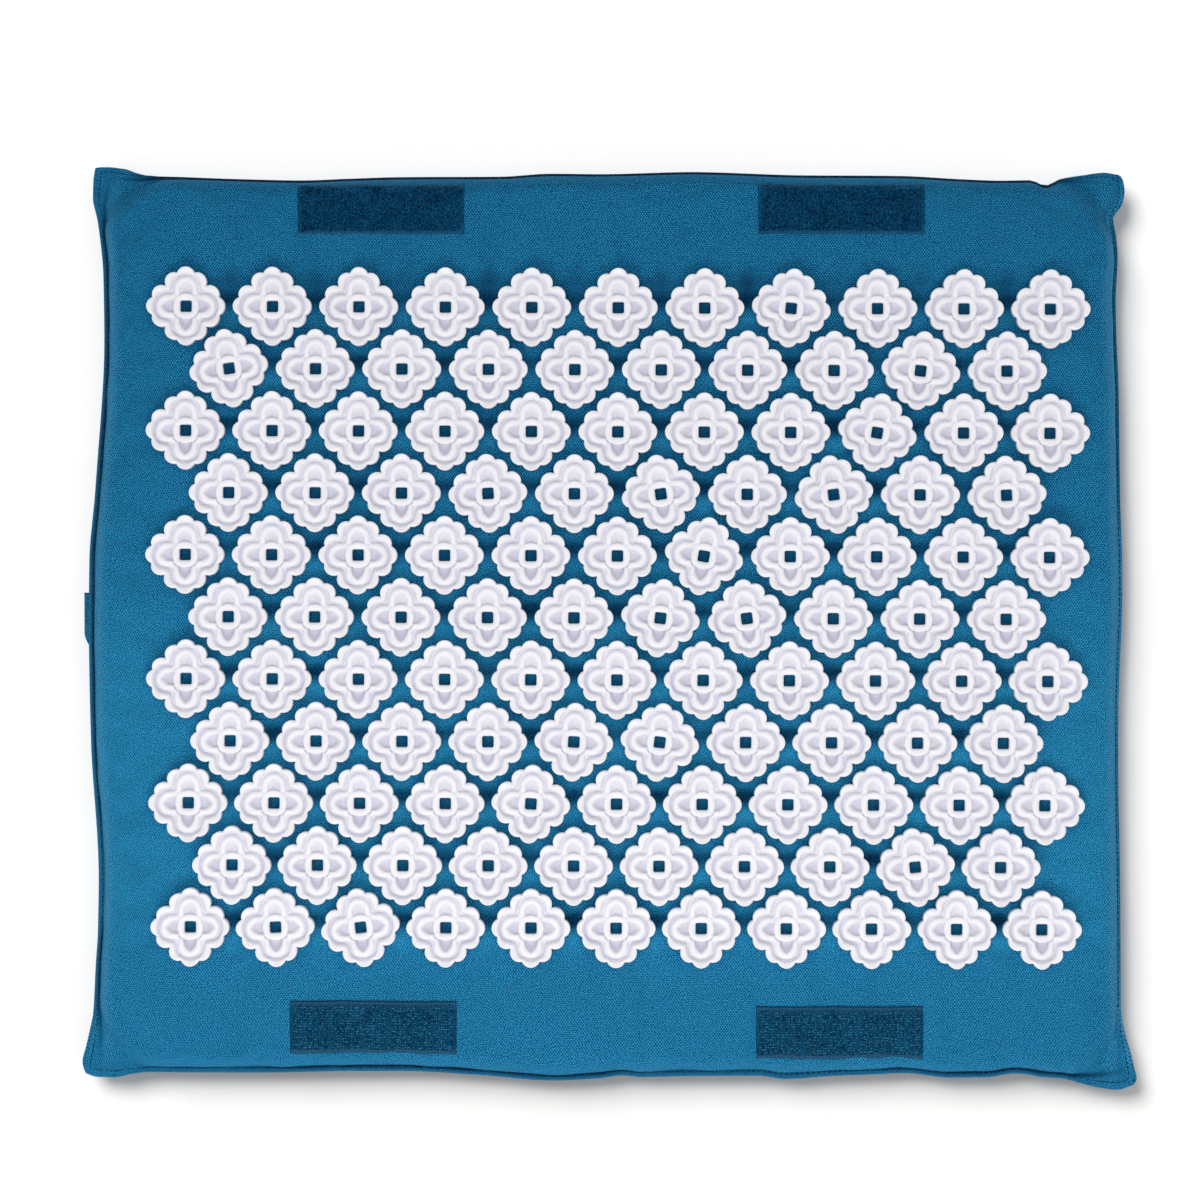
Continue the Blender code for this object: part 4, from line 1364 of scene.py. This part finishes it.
def rosette_rows(plastic, set_on):
    """One piece to a row. The shorter rows stand for nodes of their own."""
    rosette = new_object("rosette", rosette_mesh(plastic))
    values = {"Piece": rosette, "Finish": plastic}
    for row in range(ROWS):
        name = f"rosette_row_{row + 1:02d}"
        seats, turns, nodes = [], [], []
        for place_row, column, (x, y), turn in PLACES:
            if place_row == row:
                seats.append((x + SHIFT_X, y + SHIFT_Y, PAD_THICKNESS + ROSETTE_LIFT))
                turns.append(turn)
                nodes.append(f"spike_rosette_r{row + 1:02d}_c{column + 1:02d}")
        mesh = patterned(name, point_mesh("seats", seats, turns), set_on, values)
        mesh.polygons.foreach_set("use_smooth", [True] * len(mesh.polygons))
        add_piece(name, mesh, nodes if row % 2 else [])
    drop(rosette)


# ---------------------------------------------------------------- tapes

def tape_base(name, middle_x, low_y, width, thickness, material, node, selvedge):
    """A strip of tape that follows the cover's face. Wide selvedges have painted shadow along their
    far edge.
    """
    lines_x = np.linspace(middle_x - PATCH_LENGTH / 2, middle_x + PATCH_LENGTH / 2, 45)
    lines_y = np.concatenate((
        low_y + np.linspace(0, width - 0.9 * MM, 17),
        low_y + width - np.array((0.45, 0.2, 0.0)) * MM,
    ))
    x, y = np.meshgrid(lines_x, lines_y, indexing="ij")
    fray = wander(x, y, 300.0, 9.0) * 0.12 * MM
    edge_x = np.isin(x, (lines_x[0], lines_x[-1]))
    points = on_top(x + fray * edge_x, y + fray * 0.5)
    from_edge = np.minimum(y - lines_y[0], lines_y[-1] - y)
    border = np.minimum(np.minimum(x - lines_x[0], lines_x[-1] - x), from_edge)
    edge_drop = 0.35 * MM * np.exp(-border / (0.6 * MM))
    points[..., 2] += thickness + 0.03 * MM - edge_drop
    mesh = new_mesh(name, points.reshape(-1, 3), grid_faces(*x.shape), material)
    add_cloth_map(mesh, flat_places(points))
    plain = np.clip((selvedge + 0.3 * MM - from_edge) / (0.3 * MM), 0, 1)
    add_values(mesh, "selvedge", plain)
    # Painted shadow: a dark line along a wide selvedge's far edge, kept as 'turned'
    turned = 0.9 * np.clip(1.3 - (lines_y[-1] - y) / (0.35 * MM), 0, 1) * (selvedge > 1.5 * MM)
    add_values(mesh, "turned", turned)
    ground = mesh.copy()
    piece = add_piece(name, thickened(mesh, name, thickness), [node])
    return piece, ground


def sewn_frame(middle_x, low_y, width, inset, lift):
    """Line of stitches just inside a tape's edges."""
    left, right = middle_x - PATCH_LENGTH / 2 + inset, middle_x + PATCH_LENGTH / 2 - inset
    low, high = low_y + inset, low_y + width - inset
    corners = [(left, low), (right, low), (right, high), (left, high), (left, low)]
    xs, ys = [], []
    for (x0, y0), (x1, y1) in zip(corners, corners[1:]):
        steps = max(2, int(math.hypot(x1 - x0, y1 - y0) / (1.5 * MM)))
        for k in range(steps):
            xs.append(x0 + (x1 - x0) * k / steps)
            ys.append(y0 + (y1 - y0) * k / steps)
    points = on_top(np.array([xs]), np.array([ys]))[0]
    points[:, 2] += lift
    return points


def loop_mesh():
    """One loop of the pile: an arch of thin yarn."""
    path = ((-0.42, -0.1), (-0.4, 0.5), (0.0, 0.95), (0.42, 0.5), (0.3, -0.1))
    return tube_mesh("pile_loop", [(x * MM, z * MM) for x, z in path], [0.11 * MM] * 5, 3)


def hook_mesh():
    """One hook: a bristle bent over at its end."""
    path = ((-0.1, -0.1), (-0.12, 0.55), (0.12, 0.85), (0.42, 0.72), (0.46, 0.45))
    radii = [radius * MM for radius in (0.13, 0.12, 0.12, 0.1, 0.07)]
    return tube_mesh("tape_hook", [(x * MM, z * MM) for x, z in path], radii, 4)


def stitch_mesh(name, length, radius):
    """One stitch: a short length of thread, its ends sunk in the cloth."""
    path = [
        (-length / 2, -radius), (-length / 3, radius * 0.3), (0.0, radius * 0.7),
        (length / 3, radius * 0.3), (length / 2, -radius),
    ]
    return tube_mesh(name, path, [radius * 0.6, radius, radius, radius, radius * 0.6], 5)


def stitched(name, line, stitch, pitch, thread, stitching, closed=False):
    """A run of stitches along a line, as a piece."""
    values = {"Stitch": stitch, "Pitch": pitch, "Finish": thread}
    mesh = patterned(name, line_mesh("line", line, closed), stitching, values)
    return add_piece(name, mesh)


def inner_strip(ground, inset_x, inset_y, middle_x, low_y, width):
    """The part of a tape's face that the pile or the hooks stand on."""
    bm = bmesh.new()
    bm.from_mesh(ground)
    low_x = middle_x - PATCH_LENGTH / 2 + inset_x + SHIFT_X
    high_x = middle_x + PATCH_LENGTH / 2 - inset_x + SHIFT_X
    low, high = low_y + inset_y + SHIFT_Y, low_y + width - inset_y + SHIFT_Y
    outside = []
    for face in bm.faces:
        middle = face.calc_center_median()
        if not (low_x <= middle.x <= high_x and low <= middle.y <= high):
            outside.append(face)
    bmesh.ops.delete(bm, geom=outside, context="FACES")
    mesh = bpy.data.meshes.new("strip")
    bm.to_mesh(mesh)
    bm.free()
    return mesh


def loop_patches(tape, pile, thread, scatter, stitching):
    length, radius, pitch = PATCH_STITCH
    loop = new_object("pile_loop", loop_mesh())
    stitch = new_object("patch_stitch", stitch_mesh("patch_stitch", length, radius))
    for side, middle_x, seed in LOOP_PATCHES:
        base, ground = tape_base(
            f"loop_tape_{side}", middle_x, LOOP_LOW, LOOP_WIDTH, LOOP_THICKNESS, tape,
            f"loop_patch_{side}", LOOP_SELVEDGE,
        )
        strip = inner_strip(ground, 1.0 * MM, 1.4 * MM, middle_x, LOOP_LOW, LOOP_WIDTH)
        values = {
            "Piece": loop, "Spacing": LOOP_SPACING, "Density": LOOP_DENSITY,
            "Lean": LOOP_LEAN, "Seed": seed, "Finish": pile,
        }
        mesh = patterned(f"loop_pile_{side}", strip, scatter, values)
        naps = add_piece(f"loop_pile_{side}", mesh)
        line = sewn_frame(middle_x, LOOP_LOW, LOOP_WIDTH, 1.1 * MM, 1.0 * MM)
        sewn = stitched(f"loop_stitches_{side}", line, stitch, pitch, thread, stitching)
    drop(loop)
    drop(stitch)


def hook_roots(middle_x, low_y):
    """Where the hooks stand and how each one is turned: uneven rows, facing two ways in turn."""
    xs, ys, turns = [], [], []
    for i in range(HOOK_COLUMNS):
        for j in range(HOOK_ROWS):
            jitter_x = noise.noise((i * 1.7, j * 2.3, 0.5)) * 0.3 * MM
            jitter_y = noise.noise((i * 2.9, j * 1.3, 4.5)) * 0.4 * MM
            column = i - (HOOK_COLUMNS - 1) / 2 + 0.2 * (j % 2) - 0.28 * (i % 2)
            row = j - (HOOK_ROWS - 1) / 2
            xs.append(middle_x + column * HOOK_PITCH + jitter_x)
            ys.append(low_y + HOOK_WIDTH / 2 + row * HOOK_PITCH + jitter_y)
            facing = math.pi if j % 2 else 0.0
            turns.append(facing + noise.noise((i * 0.9, j * 3.1, 8.5)) * 1.4)
    points = on_top(np.array([xs]), np.array([ys]))[0]
    points[:, 2] += HOOK_THICKNESS
    return point_mesh("roots", points, turns)


def hook_patches(tape, hooks, thread, set_on, stitching):
    length, radius, pitch = PATCH_STITCH
    hook = new_object("tape_hook", hook_mesh())
    stitch = new_object("patch_stitch", stitch_mesh("patch_stitch", length, radius))
    for side, middle_x, lower in HOOK_PATCHES:
        low_y = HOOK_LOW - lower
        base, _ = tape_base(
            f"hook_tape_{side}", middle_x, low_y, HOOK_WIDTH, HOOK_THICKNESS, tape,
            f"hook_patch_{side}", HOOK_SELVEDGE,
        )
        values = {"Piece": hook, "Finish": hooks}
        mesh = patterned(f"hooks_{side}", hook_roots(middle_x, low_y), set_on, values)
        field = add_piece(f"hooks_{side}", mesh)
        line = sewn_frame(middle_x, low_y, HOOK_WIDTH, 1.6 * MM, 0.85 * MM)
        sewn = stitched(f"hook_stitches_{side}", line, stitch, pitch, thread, stitching)
    drop(hook)
    drop(stitch)


# ---------------------------------------------------------------- seam and tab

def seam_line(share, lift):
    """A closed line round the flange, at a share of its width, which grows towards the ears."""
    step = 1.5 * MM
    inset = 4.8 * MM * share
    xs, ys = [], []
    for level, way, outward, flange in (
        (True, 1, -1, FLANGE_BOTTOM), (False, 1, 1, FLANGE_RIGHT),
        (True, -1, 1, FLANGE_TOP), (False, -1, -1, FLANGE_LEFT),
    ):
        half, half_across = (HALF_LENGTH, HALF_WIDTH) if level else (HALF_WIDTH, HALF_LENGTH)
        count = int(2 * half / step)
        for i in range(1 if xs else 0, count + 1):
            place = way * (-half + inset + (2 * half - 2 * inset) * i / count)
            ear = 2.2 * MM * max(0.0, 1 - min(place + half, half - place) / EAR_LENGTH)
            edge = outward * (half_across - (flange + ear) * share)
            xs.append(place if level else edge)
            ys.append(edge if level else place)
    points = top_surface(np.array([xs[:-1]]), np.array([ys[:-1]]))[0]
    points[:, 2] += lift
    return points


def seam_stitches(thread, stitching):
    length, radius, pitch = SEAM_STITCH
    stitch = new_object("seam_stitch", stitch_mesh("seam_stitch", length, radius))
    line = seam_line(SEAM_STITCH_SHARE, 0.05 * MM)
    stitched("seam_stitches", line, stitch, pitch, thread, stitching, True)
    drop(stitch)


def tab_fold(tape):
    """The side tab: tape folded on itself, its fold outwards, both ends caught in the seam."""
    low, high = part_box("side_tab")
    layer = 0.36 * MM
    round_half = 0.3 * MM
    middle_z = (low[2] + high[2]) / 2
    reach = high[0] - low[0]
    section = [(high[0] - reach * 0.93 * k / 5, middle_z + layer / 2) for k in range(6)]
    for k in range(1, 6):
        angle = math.pi / 2 + math.pi * k / 6
        out = low[0] + round_half + round_half * math.cos(angle)
        section.append((out, middle_z + layer / 2 * math.sin(angle)))
    section += [(x, middle_z - layer / 2) for x, _ in section[5::-1]]
    count = 34
    points = []
    for i in range(count):
        share = i / (count - 1)
        y = high[1] + (low[1] - high[1]) * share
        taper = 1 - 0.65 * max(0.0, (share - 0.72) / 0.28) ** 1.5
        for x, z in section:
            out = high[0] - (high[0] - x) * taper
            sag = -0.35 * MM * math.sin(math.pi * share) * (high[0] - x) / reach
            points.append((out, y, z + sag))
    points = np.array(points).reshape(count, len(section), 3)
    mesh = new_mesh("tab_fold", points.reshape(-1, 3), grid_faces(count, len(section)), tape)
    add_cloth_map(mesh, flat_places(points))
    mesh = thickened(mesh, "tab_fold", 0.3 * MM, 0.0)
    piece = add_piece("tab_fold", mesh, ["side_tab"])


# ---------------------------------------------------------------- studio

# Strength of the sky, then each lamp: power or strength, place, size in metres, aim
SKY_STRENGTH = 0.44
KEY_POWER, KEY_PLACE, KEY_LENGTH, KEY_WIDTH = 6.3, (-0.1, -0.76, 0.95), 0.9, 0.5
CANOPY_POWER, CANOPY_PLACE, CANOPY_SIZE = 4.9, (0.0, 0.2, 1.4), 1.4
SUN_STRENGTH, SUN_DEG, SUN_AIM = 2.7, 33, (0.62, -0.7, -1.05)

# The camera looks straight down from the photo's distance
LENS_MM, SENSOR_MM = 99.74, 36.0
CAMERA_PLACE = (-3.3 * MM, 11.2 * MM, 1.3)


def add_lamp(name, kind, energy, settings, lit, place=(0.0, 0.0, 0.0), aim=None):
    """A lamp that lights one collection. Without an aim it shines straight down."""
    data = bpy.data.lights.new(name, kind)
    data.energy = energy
    for setting, value in settings.items():
        setattr(data, setting, value)
    turn = Vector(aim).to_track_quat("-Z", "Y").to_matrix().to_4x4() if aim else Matrix()
    lamp = new_object(name, data)
    lamp.matrix_world = Matrix.Translation(place) @ turn
    lamp.light_linking.receiver_collection = lit


def studio():
    """A pale floor under a soft sky, a lamp and a canopy for the mat, a sun for its shadow."""
    scene = bpy.context.scene
    scene.view_settings.view_transform = "Standard"

    corners = [(-8, -8, 0), (8, -8, 0), (8, 8, 0), (-8, 8, 0)]
    mesh = new_mesh("studio_floor", corners, [(0, 1, 2, 3)], floor_finish(), False)
    floor = new_object("studio_floor", mesh)
    floor.location.z = -0.2 * MM
    floor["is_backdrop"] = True

    world = bpy.data.worlds.new("studio")
    scene.world = world
    world.use_nodes = True
    world.node_tree.nodes.clear()
    bench = Bench(world.node_tree)
    seen = bench.node("ShaderNodeLightPath").socket.node.outputs
    ways = ("Is Camera Ray", "Is Glossy Ray", "Is Transmission Ray")
    camera_ray, glossy_ray, through_ray = [Wire(bench, seen[name]) for name in ways]
    shown = bench.clamp(camera_ray + glossy_ray + through_ray)
    paint = (1.0, 1.0, 1.0, 1.0)
    soft = bench.node("ShaderNodeBackground", {}, {"Color": paint, "Strength": SKY_STRENGTH})
    white = bench.node("ShaderNodeBackground", {}, {"Color": paint, "Strength": 1.0})
    both = bench.node("ShaderNodeMixShader", {}, {0: shown, 1: soft, 2: white})
    bench.node("ShaderNodeOutputWorld", {}, {"Surface": both})

    object_only = bpy.data.collections.new("lit_by_the_key")
    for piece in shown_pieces():
        object_only.objects.link(piece)
    floor_only = bpy.data.collections.new("lit_by_the_floor_lamp")
    floor_only.objects.link(floor)

    oblong = {"shape": "RECTANGLE", "size": KEY_LENGTH, "size_y": KEY_WIDTH}
    to_mat = tuple(-value for value in KEY_PLACE)
    add_lamp("key", "AREA", KEY_POWER, oblong, object_only, KEY_PLACE, to_mat)
    square = {"shape": "SQUARE", "size": CANOPY_SIZE}
    add_lamp("canopy", "AREA", CANOPY_POWER, square, object_only, CANOPY_PLACE)
    disc = {"angle": math.radians(SUN_DEG)}
    add_lamp("floor_lamp", "SUN", SUN_STRENGTH, disc, floor_only, aim=SUN_AIM)

    lens = bpy.data.cameras.new("camera")
    lens.lens = LENS_MM
    lens.sensor_width = SENSOR_MM
    camera = new_object("camera", lens)
    camera.location = CAMERA_PLACE
    scene.camera = camera


def main():
    canvas = canvas_finish()
    plastic = spike_finish()
    thread = yarn_finish("thread", THREAD_DARK, THREAD_LIGHT, 0.4, 0.4)
    loop_ground = tape_finish("loop_ground", LOOP_DARK, LOOP_LIGHT, 0.6 * MM)
    loop_pile = yarn_finish("loop_pile", LOOP_DARK, LOOP_LIGHT, 0.26, 0.0, 8.5)
    hook_ground = tape_finish("hook_ground", HOOK_DARK, HOOK_GROUND_LIGHT, 0.7 * MM)
    hook_bristle = yarn_finish("hook_bristle", HOOK_DARK, HOOK_LIGHT, 0.28, 0.0, 12.0)
    tab_tape = tape_finish("tab_tape", TAB_DARK, TAB_LIGHT, 0.8 * MM, 0.5)
    foam = foam_finish()

    foam_pad(foam)
    cover_top(canvas)
    cover_bottom(canvas)
    set_on, scatter, stitching = set_on_points(), scattered_pile(), run_of_stitches()
    rosette_rows(plastic, set_on)
    loop_patches(loop_ground, loop_pile, thread, scatter, stitching)
    hook_patches(hook_ground, hook_bristle, thread, set_on, stitching)
    seam_stitches(thread, stitching)
    tab_fold(tab_tape)
    studio()


main()
